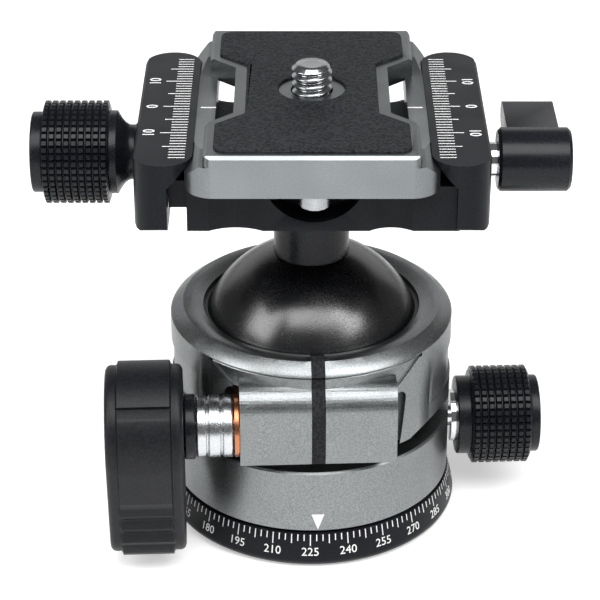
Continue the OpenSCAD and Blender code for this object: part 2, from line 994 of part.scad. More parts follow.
// Plan of a jaw: straight sides and round ends
module jaw_plan() {
    middle = clamp_hw - jaw_w / 2;
    for (side = [-1, 1])
        translate([middle, side * (jaw_hl - jaw_w / 2)])
        circle(r = jaw_w / 2);
    translate([middle - jaw_w / 2, -(jaw_hl - jaw_w / 2)])
    square([jaw_w, 2 * (jaw_hl - jaw_w / 2)]);
}

// Cross-section of the right jaw, with its undercut for the plate
module jaw_section() {
    chamfer = 0.4;
    polygon([
        [jaw_leg_x, 0],
        [clamp_hw - chamfer, 0],
        [clamp_hw, chamfer],
        [clamp_hw, jaw_top - chamfer],
        [clamp_hw - chamfer, jaw_top],
        [dovetail_sum - jaw_top, jaw_top],
        [jaw_leg_x, dovetail_sum - jaw_leg_x]
    ]);
}

// The jaw's outline from its side, with the lower corners cut away
module jaw_side() {
    polygon([
        [-jaw_hl + 1.75, 0], [jaw_hl - 1.75, 0], [jaw_hl + 0.1, 1.05],
        [jaw_hl + 0.1, jaw_top + 1], [-jaw_hl - 0.1, jaw_top + 1], [-jaw_hl - 0.1, 1.05]
    ]);
}

module jaw() {
    intersection() {
        linear_extrude(jaw_top + 1)
        jaw_plan();
        translate([0, far, 0])
        rotate([90, 0, 0])
        linear_extrude(2 * far)
        jaw_section();
        rotate([90, 0, 90])
        linear_extrude(far)
        jaw_side();
    }
}

// A vertical flute in an end face between x0 and x1
module flute(x0, x1) {
    half = (x1 - x0) / 2;
    r = (half * half + flute_depth * flute_depth) / (2 * flute_depth);
    translate([(x0 + x1) / 2, -clamp_hl - r + flute_depth, -eps])
    cylinder(h = far, r = r);
}

module at_guides() {
    for (side = [-1, 1])
        translate([0, side * guide_y, guide_z])
        children();
}

module clamp_base() {
    color(black)
    at_clamp()
    difference() {
        union() {
            translate([-base_left_x, -clamp_hl, 0])
            cube([base_left_x + jaw_leg_x + 0.5, 2 * clamp_hl, channel_floor]);
            both_ends()
            translate([-jaw_leg_x + 0.1, -shelf_hl, channel_floor - shelf_t])
            cube([jaw_gap, shelf_hl - clamp_screw_r - 1.6, shelf_t]);
            jaw();
        }
        both_ends() {
            flute(-flute_left_out, -flute_left_in);
            flute(flute_right_in, flute_right_out);
            translate([notch_x, -notch_inner_y, notch_centre_z])
            rotate([90, 0, 0])
            cylinder(h = far, r = notch_r);
        }
        both_sides()
        translate([slot_in - 0.6, cut_in_y + 2, channel_floor - relief_depth])
        cube([slot_out - slot_in + 1.2, far, far]);
        translate([0, 0, -eps])
        cylinder(h = far, r = post_r + run_gap);
        translate([0, 0, post_top])
        cylinder(h = far, r = stem_flange_r + 0.4);
        translate([0, 0, clamp_screw_z])
        bar_x(-far, 0, clamp_screw_r + run_gap);
        at_guides()
        bar_x(-far, -guide_end, guide_r + run_gap);
        translate([0, 0, lever_z])
        bar_x(0, far, lever_screw_r + run_gap);
    }
}

module lever_pad() {
    color(brass)
    at_clamp(lever_z)
    bar_x(post_r + 0.1, post_r + 2, lever_screw_r);
}

module moving_jaw() {
    color(black)
    at_clamp()
    difference() {
        mirror([1, 0, 0])
        jaw();
        translate([0, 0, clamp_screw_z])
        bar_x(-far, 0, clamp_screw_r + run_gap);
        at_guides()
        bar_x(-clamp_hw + 1, 0, guide_r + fit_gap);
    }
}

module guide_pins() {
    color(steel)
    at_clamp()
    at_guides()
    bar_x(-clamp_hw + 1.1, -guide_end - 0.5, guide_r);
}

// ---- Clamp knob

neck_x = clamp_hw + 0.1;
clamp_collar_x = neck_x + clamp_neck_l;
clamp_knurl_x = clamp_collar_x + 1.3;
clamp_knob_end = clamp_knurl_x + clamp_knurl_l;

module clamp_screw() {
    color(steel)
    at_clamp(clamp_screw_z)
    bar_x(-clamp_knurl_x - clamp_knurl_l * 0.6, -clamp_screw_end, clamp_screw_r);
}

module screw_clip() {
    color(steel)
    at_clamp(clamp_screw_z)
    difference() {
        bar_x(-jaw_leg_x + 0.1, -jaw_leg_x + 0.1 + clip_t, clamp_screw_r + 0.6);
        bar_x(-far, 0, clamp_screw_r + fit_gap);
    }
}

module clamp_knob() {
    hole = clamp_screw_r + fit_gap;
    flare = clamp_collar_r - clamp_neck_r;
    color(black)
    at_clamp(clamp_screw_z)
    turned_left(concat(
        [[hole, neck_x], [clamp_neck_r + flare * 0.25, neck_x]],
        [for (a = [0:15:90])
            [clamp_neck_r + flare * (1 - cos(a)), clamp_collar_x - clamp_neck_l * 0.6 * (1 - sin(a))]],
        [
            [clamp_collar_r, clamp_knurl_x],
            [clamp_knurl_r - 0.5, clamp_knurl_x],
            [clamp_knurl_r, clamp_knurl_x + 0.5],
            [clamp_knurl_r, clamp_knob_end - 0.5],
            [clamp_knurl_r - 0.5, clamp_knob_end],
            [clamp_cap_r * cap_plug + fit_gap, clamp_knob_end],
            [clamp_cap_r * cap_plug + fit_gap, clamp_knob_end - cap_plug_l - cap_plug_gap],
            [hole, clamp_knob_end - cap_plug_l - cap_plug_gap]
        ]
    ));
}

module clamp_knob_cap() {
    color(black)
    at_clamp(clamp_screw_z)
    turned_left([
        [0, clamp_knob_end - cap_plug_l],
        [clamp_cap_r * cap_plug, clamp_knob_end - cap_plug_l],
        [clamp_cap_r * cap_plug, clamp_knob_end + fit_gap],
        [clamp_cap_r, clamp_knob_end + fit_gap],
        [clamp_cap_r, clamp_knob_end + clamp_cap_l - 0.4],
        [clamp_cap_r - 0.4, clamp_knob_end + clamp_cap_l],
        [0, clamp_knob_end + clamp_cap_l]
    ]);
}

// ---- Top pan lever

module lever_screw() {
    color(chrome)
    at_clamp(lever_z) {
        bar_x(post_r + 2.2, lever_x + 0.5, lever_screw_r);
        bar_x(clamp_hw + 0.2, lever_x - fit_gap, lever_shoulder_r);
        bar_x(lever_x - fit_gap, lever_x + lever_barrel_l * 0.8, lever_shank_r);
    }
}

module pan_lever() {
    tip_r = 2.2;
    arm_top = 4;
    arm_x = lever_x + (lever_barrel_l - lever_arm_w) / 2;
    edge = 0.5;
    color(black)
    at_clamp(lever_z)
    difference() {
        union() {
            turned_right([
                [0, lever_x],
                [lever_barrel_r - edge, lever_x],
                [lever_barrel_r, lever_x + edge],
                [lever_barrel_r, lever_x + lever_barrel_l - edge],
                [lever_barrel_r - edge, lever_x + lever_barrel_l],
                [0, lever_x + lever_barrel_l]
            ]);
            translate([arm_x, 0, arm_top - 2 * tip_r])
            cube([lever_arm_w, lever_reach - tip_r, 2 * tip_r]);
            translate([0, lever_reach - tip_r, arm_top - tip_r])
            bar_x(arm_x, arm_x + lever_arm_w, tip_r);
        }
        bar_x(lever_x - 1, lever_x + lever_barrel_l * 0.8 + fit_gap, lever_shank_r + fit_gap);
    }
}

// ---- Quick-release plate

module rounded_plan(hw, hl, r) {
    for (sx = [-1, 1], sy = [-1, 1])
        translate([sx * (hw - r), sy * (hl - r)])
        circle(r = r);
    square([2 * (hw - r), 2 * hl], center = true);
    square([2 * hw, 2 * (hl - r)], center = true);
}

module flange() {
    ledge_x = flange_hw - (ledge_h - land_h);
    intersection() {
        linear_extrude(ledge_h)
        rounded_plan(flange_hw, plate_hl, 4.5);
        translate([0, far, 0])
        rotate([90, 0, 0])
        linear_extrude(2 * far)
        polygon([
            [-flange_hw, 0], [flange_hw, 0], [flange_hw, land_h], [ledge_x, ledge_h],
            [-ledge_x, ledge_h], [-flange_hw, land_h]
        ]);
    }
}

// A bar's cross-section with its two upper edges bevelled
module bevelled_section(hw, h, bevel) {
    polygon([
        [-hw, 0], [hw, 0], [hw, h - bevel], [hw - bevel, h], [-hw + bevel, h], [-hw, h - bevel]
    ]);
}

module block() {
    bevel = 0.5;
    intersection() {
        linear_extrude(plate_h)
        rounded_plan(block_hw, plate_hl, 1.3);
        translate([0, far, 0])
        rotate([90, 0, 0])
        linear_extrude(2 * far)
        bevelled_section(block_hw, plate_h, bevel);
        translate([-far, 0, 0])
        rotate([90, 0, 90])
        linear_extrude(2 * far)
        bevelled_section(plate_hl, plate_h, bevel);
    }
}

// Plan of a strap cut-out on the right side, out to out_x
module strap_plan(out_x) {
    reach = cut_in_y + (cut_out_y - cut_in_y) * (out_x - slot_in) / (block_hw - slot_in);
    polygon([[slot_in, -cut_in_y], [out_x, -reach], [out_x, reach], [slot_in, cut_in_y]]);
}

// What is cut from the ledge on the right side, with a ramp at both ends
module lowered_ledge() {
    rise = ledge_h - strap_floor;
    slope_y = strap_ramp_l * (rise + 1) / rise;
    translate([block_hw, 0, strap_floor])
    rotate([90, 0, 90])
    linear_extrude(flange_hw)
    polygon([
        [-cut_out_y, 0], [cut_out_y, 0], [cut_out_y + slope_y, rise + 1], [-cut_out_y - slope_y, rise + 1]
    ]);
}

module pad_plan() {
    difference() {
        rounded_plan(pad_hw, pad_hl, 2);
        both_sides()
        polygon([
            [slot_in - 1.8, -cut_in_y - 0.7], [block_hw, -cut_out_y - 2],
            [block_hw, cut_out_y + 2], [slot_in - 1.8, cut_in_y + 0.7]
        ]);
        circle(r = pad_hole_r);
    }
}

module quick_plate() {
    color(plate_grey)
    at_plate()
    difference() {
        union() {
            flange();
            block();
        }
        both_sides() {
            translate([0, 0, -eps])
            linear_extrude(far)
            strap_plan(slot_out);
            translate([0, 0, strap_floor])
            linear_extrude(far)
            strap_plan(block_hw + eps);
            lowered_ledge();
            translate([slot_in, 0, -eps])
            cube([slot_out - slot_in, far, strap_floor - 0.4]);
        }
        translate([0, 0, plate_h - pad_sunk])
        linear_extrude(far)
        pad_plan();
        translate([0, 0, -eps])
        cylinder(h = far, r = camera_screw_r + 0.15);
        translate([0, 0, -eps])
        cylinder(h = screw_head_t + 0.9, r = screw_head_r + 0.3);
        both_ends()
        translate([notch_x, -pin_y, -eps])
        cylinder(h = 3, r = safety_pin_r * 0.7 + fit_gap);
    }
}

module plate_pad() {
    color(rubber)
    at_plate()
    translate([0, 0, plate_h - pad_sunk])
    linear_extrude(pad_sunk + pad_t)
    pad_plan();
}

module safety_pins() {
    color(steel)
    at_plate()
    both_ends()
    translate([notch_x, -pin_y, 0]) {
        cylinder(h = 2.9, r = safety_pin_r * 0.7);
        translate([0, 0, -safety_pin_l])
        cylinder(h = safety_pin_l, r = safety_pin_r);
    }
}

module camera_screw() {
    top = plate_h + camera_screw_h;
    thread_from = plate_h + pad_t + 0.25;
    color(chrome)
    at_plate()
    difference() {
        rotate_extrude()
        polygon([
            [0, 0.6],
            [screw_head_r - 0.3, 0.6],
            [screw_head_r, 0.9],
            [screw_head_r, 0.6 + screw_head_t],
            [screw_relief_r, 0.6 + screw_head_t],
            [screw_relief_r, thread_from - 0.3],
            [camera_screw_r, thread_from],
            [camera_screw_r, top - 0.6],
            [camera_screw_r - 0.6, top],
            [0, top]
        ]);
        translate([-far, -0.8, 0])
        cube([2 * far, 1.6, 1.6]);
    }
}

pan_base();
tripod_bushing();
pan_washer();
pan_retainer();
retainer_screws();
housing();
seat_carrier();
ball_liner();
split_strip();
lock_nut();
lock_washer();
pan_shoe();
lock_screw();
lock_sleeve();
lock_hub();
lock_grip();
pan_screw();
pan_knob();
pan_knob_cap();
ball_seat();
ball();
stem();
stem_retainer();
stem_screw();
clamp_base();
lever_pad();
moving_jaw();
guide_pins();
clamp_screw();
screw_clip();
clamp_knob();
clamp_knob_cap();
lever_screw();
pan_lever();
quick_plate();
plate_pad();
safety_pins();
camera_screw();
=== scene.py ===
"""Tripod ball head: finishes, fine forms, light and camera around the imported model.

Sizes are in millimetres and become metres through MM. Only the merge distances, the floor and the
lamps are given in metres.
"""
import json
import math

import bmesh
import bpy
from mathutils import Matrix, Vector

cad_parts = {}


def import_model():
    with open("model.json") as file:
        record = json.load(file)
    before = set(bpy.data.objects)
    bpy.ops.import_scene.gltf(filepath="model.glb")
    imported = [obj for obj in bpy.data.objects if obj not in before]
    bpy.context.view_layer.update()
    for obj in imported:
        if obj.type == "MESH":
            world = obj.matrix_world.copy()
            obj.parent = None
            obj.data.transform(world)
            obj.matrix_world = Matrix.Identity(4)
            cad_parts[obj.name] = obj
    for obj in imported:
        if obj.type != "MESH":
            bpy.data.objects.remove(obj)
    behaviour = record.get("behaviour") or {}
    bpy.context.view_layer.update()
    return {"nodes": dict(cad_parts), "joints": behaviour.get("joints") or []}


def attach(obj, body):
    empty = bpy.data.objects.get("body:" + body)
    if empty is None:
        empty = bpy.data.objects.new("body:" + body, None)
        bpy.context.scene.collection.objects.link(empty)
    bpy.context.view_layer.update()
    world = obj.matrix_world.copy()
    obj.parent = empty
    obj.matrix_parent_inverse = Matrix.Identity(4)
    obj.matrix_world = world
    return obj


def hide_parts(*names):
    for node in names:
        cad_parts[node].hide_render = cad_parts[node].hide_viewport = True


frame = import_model()

MM = 0.001
TAU = 2 * math.pi

# ---------------------------------------------------------------- sizes, mm
SKIRT_HIGH = (23.3, 5.8)      # radius and height where the skirt's slope starts
SKIRT_LOW = (24.2, 2.0)       # radius and height where it ends
HOUSING_R = 23.1
BALL_R = 18.5
BALL_Z = 28.5
NECK_R = 6.1
PLATE_Z = 67.3
PLATE_TOP_Z = 74.1
JAW_TOP_Z = 71.25
INK = 0.02                    # how far printed marks stand off their surface
BROKEN_EDGE = 25              # degrees: a CAD piece's edges that are sharper get a small radius
HARD_EDGE = 32                # degrees: sharper edges of other pieces stay hard in the shading
SAME_SPOT = 1e-7              # metres: points of a new mesh that are closer are one
CAD_SPOT = 2e-6               # metres: the same for a CAD piece's loose triangles
CAD_SLIVER = 4e-6             # metres: a CAD piece's edges that are shorter go
CAD_FLAT = 0.3                # degrees: a CAD piece's faces that meet flatter become one


# ---------------------------------------------------------------- node helper
def fill(tree, node, links):
    """Sets or links a node's inputs. A node given as a value stands for its first output."""
    for key, value in links.items():
        if isinstance(value, bpy.types.Node):
            value = value.outputs[0]
        if isinstance(value, bpy.types.NodeSocket):
            tree.links.new(value, node.inputs[key])
        else:
            node.inputs[key].default_value = value


def add(tree, kind, links=None, **settings):
    """Adds a node with its settings and links."""
    node = tree.nodes.new(kind)
    for name, value in settings.items():
        setattr(node, name, value)
    fill(tree, node, links or {})
    return node


def linear(hex_colour):
    """An sRGB hex colour as linear RGBA."""
    parts = [int(hex_colour[i:i + 2], 16) / 255 for i in (0, 2, 4)]
    return tuple(p / 12.92 if p <= 0.04045 else ((p + 0.055) / 1.055) ** 2.4 for p in parts) + (1.0,)


# ---------------------------------------------------------------- materials
# Real blasting pits, mould grain and lathe marks are near 0.1 mm and too fine to show. They are
# drawn at 0.2 to 0.35 mm, about as fine as the render can show.
CLOUD_MM = 6.0                # patches where the blasting is a little duller
LATHE_MM = 0.25
LATHE_DEPTH_MM = 0.002
WAX_MM = 1.5                  # soft clouds in acetal
CHALK_MM = 0.12               # specks in the laser marking


def surface(name, colour, metallic, roughness):
    """A new material with a Principled shader, and Object coordinates to read."""
    material = bpy.data.materials.new(name)
    material.use_nodes = True
    tree = material.node_tree
    shader = tree.nodes["Principled BSDF"]
    fill(tree, shader, {"Base Color": linear(colour), "Metallic": metallic, "Roughness": roughness})
    place = add(tree, "ShaderNodeTexCoord").outputs["Object"]
    return material, tree, shader, place


def blasted_anodised(name, dark, light, roughness, grit_mm, depth_mm, metallic=1.0, sheen=0.5):
    """Anodised aluminium over a bead-blasted skin: soft sheen broken by fine, even grit."""
    material, tree, shader, place = surface(name, light, metallic, roughness)
    grit = add(tree, "ShaderNodeTexNoise", {"Vector": place, "Scale": 1 / (grit_mm * MM), "Detail": 3.0})
    cloud = add(tree, "ShaderNodeTexNoise", {"Vector": place, "Scale": 1 / (CLOUD_MM * MM), "Detail": 1.0})
    crest = add(tree, "ShaderNodeMapRange", {"Value": grit, "From Min": 0.3, "From Max": 0.7})
    tint = add(tree, "ShaderNodeMix", {
        "Factor": crest, "A": linear(dark), "B": linear(light),
    }, data_type="RGBA")
    patches = add(tree, "ShaderNodeMath", {0: grit, 1: cloud}, operation="MULTIPLY")
    dulled = add(tree, "ShaderNodeMapRange", {
        "Value": patches, "From Min": 0.15, "From Max": 0.4,
        "To Min": roughness - 0.05, "To Max": roughness + 0.07,
    })
    pits = add(tree, "ShaderNodeBump", {"Height": grit, "Distance": depth_mm * MM, "Strength": 1.0})
    fill(tree, shader, {
        "Base Color": tint.outputs["Result"], "Roughness": dulled, "Normal": pits,
        "Specular IOR Level": sheen,
    })
    return material


def turned_metal(name, colour, roughness):
    """Bright turned or plated metal: a mirror, faintly hazed by fine lathe marks."""
    material, tree, shader, place = surface(name, colour, 1.0, roughness)
    marks = add(tree, "ShaderNodeTexNoise", {"Vector": place, "Scale": 1 / (LATHE_MM * MM), "Detail": 1.0})
    hazed = add(tree, "ShaderNodeMapRange", {
        "Value": marks, "From Min": 0.3, "From Max": 0.7,
        "To Min": roughness, "To Max": roughness + 0.08,
    })
    relief = add(tree, "ShaderNodeBump", {
        "Height": marks, "Distance": LATHE_DEPTH_MM * MM, "Strength": 1.0,
    })
    fill(tree, shader, {"Roughness": hazed, "Normal": relief})
    return material


def moulded_rubber(name, dark, light, grit_mm, depth_mm, roughness):
    """Moulded rubber: matte, with a fine leathery grain that catches light on its crests."""
    material, tree, shader, place = surface(name, light, 0.0, roughness)
    skin = add(tree, "ShaderNodeTexNoise", {"Vector": place, "Scale": 1 / (grit_mm * MM), "Detail": 4.0})
    cells = add(tree, "ShaderNodeTexVoronoi", {"Vector": place, "Scale": 1 / (grit_mm * 1.6 * MM)})
    leather = add(tree, "ShaderNodeMath", {0: skin, 1: cells.outputs["Distance"]}, operation="MULTIPLY")
    crest = add(tree, "ShaderNodeMapRange", {"Value": leather, "From Min": 0.1, "From Max": 0.35})
    tint = add(tree, "ShaderNodeMix", {
        "Factor": crest, "A": linear(dark), "B": linear(light),
    }, data_type="RGBA")
    relief = add(tree, "ShaderNodeBump", {
        "Height": leather, "Distance": depth_mm * MM, "Strength": 1.0,
    })
    fill(tree, shader, {
        "Base Color": tint.outputs["Result"], "Normal": relief, "Specular IOR Level": 0.25,
    })
    return material


def acetal(name, dark, light):
    """Machined acetal: smooth, faintly waxy plastic with soft clouds."""
    material, tree, shader, place = surface(name, light, 0.0, 0.4)
    cloud = add(tree, "ShaderNodeTexNoise", {"Vector": place, "Scale": 1 / (WAX_MM * MM), "Detail": 2.0})
    tint = add(tree, "ShaderNodeMix", {
        "Factor": cloud, "A": linear(dark), "B": linear(light),
    }, data_type="RGBA")
    fill(tree, shader, {"Base Color": tint.outputs["Result"]})
    return material


def marking_ink():
    """White laser marking: flat, slightly chalky, with fine specks."""
    material, tree, shader, place = surface("white_laser_marking", "E9EAEA", 0.0, 0.6)
    speck = add(tree, "ShaderNodeTexNoise", {"Vector": place, "Scale": 1 / (CHALK_MM * MM), "Detail": 2.0})
    tint = add(tree, "ShaderNodeMix", {
        "Factor": speck, "A": linear("D8D9D9"), "B": linear("F4F4F4"),
    }, data_type="RGBA")
    fill(tree, shader, {"Base Color": tint.outputs["Result"]})
    return material


# Aluminium, blasted and dyed black: the dyed oxide hides the metal, and only a faint sheen is left
BLACK = blasted_anodised("black_anodised_blasted", "0C0E12", "191B20", 0.33, 0.25, 0.014, 0.0, 0.14)
# Aluminium, turned and dyed black: the same oxide over a smoother skin, so its edges catch more light
KNOB_BLACK = blasted_anodised("black_anodised_turned", "101216", "1B1D22", 0.29, 0.3, 0.004, 0.0, 0.24)
# Aluminium, ground round and hard-anodised: the darkest skin, with the tightest highlights
BALL_BLACK = blasted_anodised("black_hard_anodised_ball", "060709", "0C0D10", 0.25, 0.25, 0.012, 0.0, 0.9)
# Aluminium, coarsely blasted and anodised titanium grey: the metal shows through and glitters a little
TITANIUM = blasted_anodised("titanium_grey_anodised", "707375", "909393", 0.36, 0.25, 0.022)
# Aluminium, finely blasted and anodised grey: a flatter, more even satin
PLATE_GREY = blasted_anodised("grey_anodised_plate", "797D7F", "8C9091", 0.36, 0.2, 0.008)
# Steel, polished and chromed: a clear mirror
CHROME = turned_metal("polished_chrome", "DADBDD", 0.08)
# Turned sleeve, satin-chromed: a blurred mirror that keeps its bright and dark bands
SLEEVE_CHROME = turned_metal("satin_chrome_sleeve", "C6C8CA", 0.22)
# Screw with a rolled thread, thinly chromed: a darker mirror with a slight haze
SCREW_CHROME = turned_metal("dull_chrome_screw", "A6A8AB", 0.14)
# Steel as it left the lathe: soft grey shine
STEEL = turned_metal("turned_steel", "A9ABAE", 0.25)
# Copper-coloured bearing washer, stamped and tumbled: warm, soft shine
COPPER = turned_metal("copper_washer", "B87A58", 0.25)
# Brass as it left the lathe: yellow, soft shine
BRASS = turned_metal("turned_brass", "B79A58", 0.25)
# Rubber moulded in a smooth mould: near-black, with a low shine along its edges
GRIP_RUBBER = moulded_rubber("moulded_grip_rubber", "0A0B0D", "15171B", 0.3, 0.02, 0.45)
# Rubber moulded with a deep leather grain, for hold: dark valleys and greyer crests
PAD_RUBBER = moulded_rubber("grained_pad_rubber", "030405", "25272B", 0.34, 0.4, 0.6)
# Rubber cut from grained sheet: matte, with small crests
STRIP_RUBBER = moulded_rubber("grained_strip_rubber", "08080A", "222326", 0.3, 0.08, 0.8)
# Acetal, dyed black and machined: dull, waxy black
LINER = acetal("black_acetal", "101112", "1A1B1C")
# Acetal in its own off-white, machined: waxy and pale
PALE_ACETAL = acetal("natural_acetal", "C9C6BC", "DAD8CF")
# Oxide bleached by a laser: chalky white without a shine of its own
WHITE = marking_ink()


# ---------------------------------------------------------------- mesh helpers
def shade(mesh, angle=HARD_EDGE):
    """Smooth shading that keeps the edges sharper than an angle hard."""
    mesh.shade_smooth()
    mesh.set_sharp_from_angle(angle=math.radians(angle))


def publish(name, mesh, material, body, replaces=()):
    """Makes a mesh a piece of the object, riding on a body."""
    mesh.materials.clear()
    mesh.materials.append(material)
    piece = bpy.data.objects.new(name, mesh)
    bpy.context.scene.collection.objects.link(piece)
    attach(piece, body)
    if replaces:
        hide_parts(*replaces)


def plain_mesh(holder):
    """An object as its modifiers, or its font, make it, as a mesh of its own."""
    return bpy.data.meshes.new_from_object(holder.evaluated_get(bpy.context.evaluated_depsgraph_get()))


def mesh_of(name, points, faces, matrix, angle=HARD_EDGE):
    """A closed, outward-facing mesh from local millimetre points."""
    mesh = bpy.data.meshes.new(name)
    mesh.from_pydata([matrix @ Vector(p) for p in points], [], faces)
    form = bmesh.new()
    form.from_mesh(mesh)
    bmesh.ops.remove_doubles(form, verts=form.verts, dist=SAME_SPOT)
    bmesh.ops.recalc_face_normals(form, faces=form.faces)
    form.to_mesh(mesh)
    form.free()
    shade(mesh, angle)
    return mesh


def joint_place(name):
    """Local millimetres at a joint: x along its axis, z up, origin where the axis passes the middle."""
    joint = next(j for j in frame["joints"] if j["name"] == name)
    x = Vector(joint["axis"]).normalized()
    z = Vector((0, 0, 1))
    origin = Vector(joint["pos_m"])
    origin -= x * origin.dot(x)
    place = Matrix((x, z.cross(x), z)).transposed().to_4x4()
    place.translation = origin
    return place @ Matrix.Scale(MM, 4)


UPRIGHT = Matrix.Scale(MM, 4)
BODY_TURN = next(Vector(j["axis"]) for j in frame["joints"] if j["name"] == "pan_knob_turn")
BODY_PLACE = Matrix.Rotation(math.atan2(BODY_TURN.y, BODY_TURN.x), 4, "Z") @ UPRIGHT


def lathe(profile, around_x=True, segments=160):
    """Points and faces of a closed turned form. The profile holds (along, radius) pairs."""
    points, faces = [], []
    count = len(profile)
    for k in range(segments):
        turn = TAU * k / segments
        for along, radius in profile:
            y, z = radius * math.cos(turn), radius * math.sin(turn)
            points.append((along, y, z) if around_x else (y, z, along))
    for k in range(segments):
        here, there = k * count, (k + 1) % segments * count
        for i in range(count - 1):
            faces.append((here + i, here + i + 1, there + i + 1, there + i))
    return points, faces


def softened(corners, radius, steps=4):
    """Rounds every corner of a profile but its two ends."""
    line = [corners[0]]
    for before, corner, after in zip(corners, corners[1:], corners[2:]):
        a, b, c = Vector(before), Vector(corner), Vector(after)
        reach = min(radius, (a - b).length / 2.2, (c - b).length / 2.2)
        start, stop = b + (a - b).normalized() * reach, b + (c - b).normalized() * reach
        for s in range(steps + 1):
            t = s / steps
            line.append(tuple(start.lerp(b, t).lerp(b.lerp(stop, t), t)))
    line.append(corners[-1])
    return line


def rounded(node, name, width, material, body):
    """A copy of a CAD node with its hard edges broken by a small radius."""
    mesh = frame["nodes"][node].data.copy()
    form = bmesh.new()
    form.from_mesh(mesh)
    bmesh.ops.remove_doubles(form, verts=form.verts, dist=CAD_SPOT)
    bmesh.ops.dissolve_degenerate(form, dist=CAD_SLIVER, edges=form.edges)
    flat = math.radians(CAD_FLAT)
    bmesh.ops.dissolve_limit(form, angle_limit=flat, verts=form.verts, edges=form.edges)
    form.to_mesh(mesh)
    form.free()
    shade(mesh, BROKEN_EDGE)
    holder = bpy.data.objects.new(name + "_form", mesh)
    bpy.context.scene.collection.objects.link(holder)
    bevel = holder.modifiers.new("edges", "BEVEL")
    bevel.width = width * MM
    bevel.segments = 2
    bevel.limit_method = "ANGLE"
    bevel.angle_limit = math.radians(BROKEN_EDGE)
    bevel.use_clamp_overlap = True
    bevel.miter_outer = "MITER_ARC"
    bevel.harden_normals = True
    result = plain_mesh(holder)
    bpy.data.objects.remove(holder)
    publish(name, result, material, body, replaces=(node,))


# ---------------------------------------------------------------- repeated forms
KNURL_FOOT = 0.68             # a knurl's foot and crest radius, as parts of its pitch
KNURL_CREST = 0.4


def socket_id(tree, label):
    """The identifier of one of a tree's inputs."""
    return next(s.identifier for s in tree.interface.items_tree if s.name == label and s.in_out == "INPUT")


def grown(tree, sizes, name, matrix):
    """Runs a node tree with the given sizes and returns its result as a plain mesh."""
    holder = bpy.data.objects.new(name + "_grower", bpy.data.meshes.new(name + "_seed"))
    bpy.context.scene.collection.objects.link(holder)
    modifier = holder.modifiers.new("grow", "NODES")
    modifier.node_group = tree
    for label, value in sizes.items():
        modifier[socket_id(tree, label)] = value
    result = plain_mesh(holder)
    holder.modifiers.remove(modifier)
    bpy.data.objects.remove(holder)
    result.transform(matrix)
    return result


def new_tree(name, floats, ints):
    """A node tree with named inputs, and the sockets that give their values."""
    tree = bpy.data.node_groups.new(name, "GeometryNodeTree")
    tree.interface.new_socket("Geometry", in_out="OUTPUT", socket_type="NodeSocketGeometry")
    for label in floats:
        tree.interface.new_socket(label, in_out="INPUT", socket_type="NodeSocketFloat")
    for label in ints:
        tree.interface.new_socket(label, in_out="INPUT", socket_type="NodeSocketInt")
    return tree, tree.nodes.new("NodeGroupInput").outputs


def close_tree(tree, geometry, material):
    """Makes instances real faces, gives them a material, and ends the tree."""
    real = add(tree, "GeometryNodeRealizeInstances", {"Geometry": geometry})
    painted = add(tree, "GeometryNodeSetMaterial", {"Geometry": real, "Material": material})
    add(tree, "NodeGroupOutput", {0: painted})


def knurl_tree():
    """Blunt square pyramids in rows round a cylinder that lies along X."""
    tree, sizes = new_tree("knurl", ["Start", "Pitch", "Radius", "Height"], ["Columns", "Rows"])
    total = add(tree, "ShaderNodeMath", {0: sizes["Columns"], 1: sizes["Rows"]}, operation="MULTIPLY")
    line = add(tree, "GeometryNodeMeshLine", {"Count": total})
    index = add(tree, "GeometryNodeInputIndex")
    column = add(tree, "ShaderNodeMath", {0: index, 1: sizes["Columns"]}, operation="MODULO")
    passed = add(tree, "ShaderNodeMath", {0: index, 1: sizes["Columns"]}, operation="DIVIDE")
    row = add(tree, "ShaderNodeMath", {0: passed}, operation="FLOOR")
    share = add(tree, "ShaderNodeMath", {0: row, 1: sizes["Rows"]}, operation="DIVIDE")
    turn = add(tree, "ShaderNodeMath", {0: share, 1: TAU}, operation="MULTIPLY")
    middle = add(tree, "ShaderNodeMath", {0: column, 1: 0.5}, operation="ADD")
    reach = add(tree, "ShaderNodeMath", {0: middle, 1: sizes["Pitch"]}, operation="MULTIPLY")
    along = add(tree, "ShaderNodeMath", {0: sizes["Start"], 1: reach}, operation="ADD")
    sine = add(tree, "ShaderNodeMath", {0: turn}, operation="SINE")
    cosine = add(tree, "ShaderNodeMath", {0: turn}, operation="COSINE")
    forward = add(tree, "ShaderNodeMath", {0: sine, 1: sizes["Radius"]}, operation="MULTIPLY")
    back = add(tree, "ShaderNodeMath", {0: forward, 1: -1.0}, operation="MULTIPLY")
    up = add(tree, "ShaderNodeMath", {0: cosine, 1: sizes["Radius"]}, operation="MULTIPLY")
    spot = add(tree, "ShaderNodeCombineXYZ", {"X": along, "Y": back, "Z": up})
    placed = add(tree, "GeometryNodeSetPosition", {"Geometry": line, "Position": spot})
    foot = add(tree, "ShaderNodeMath", {0: sizes["Pitch"], 1: KNURL_FOOT}, operation="MULTIPLY")
    crest = add(tree, "ShaderNodeMath", {0: sizes["Pitch"], 1: KNURL_CREST}, operation="MULTIPLY")
    cone = add(tree, "GeometryNodeMeshCone", {
        "Vertices": 4, "Radius Bottom": foot, "Radius Top": crest, "Depth": sizes["Height"],
    })
    square = add(tree, "GeometryNodeTransform", {"Geometry": cone, "Rotation": (0, 0, TAU / 8)})
    lean = add(tree, "ShaderNodeCombineXYZ", {"X": turn})
    stood = add(tree, "GeometryNodeInstanceOnPoints", {
        "Points": placed, "Instance": square, "Rotation": lean,
    })
    close_tree(tree, stood, KNOB_BLACK)
    return tree


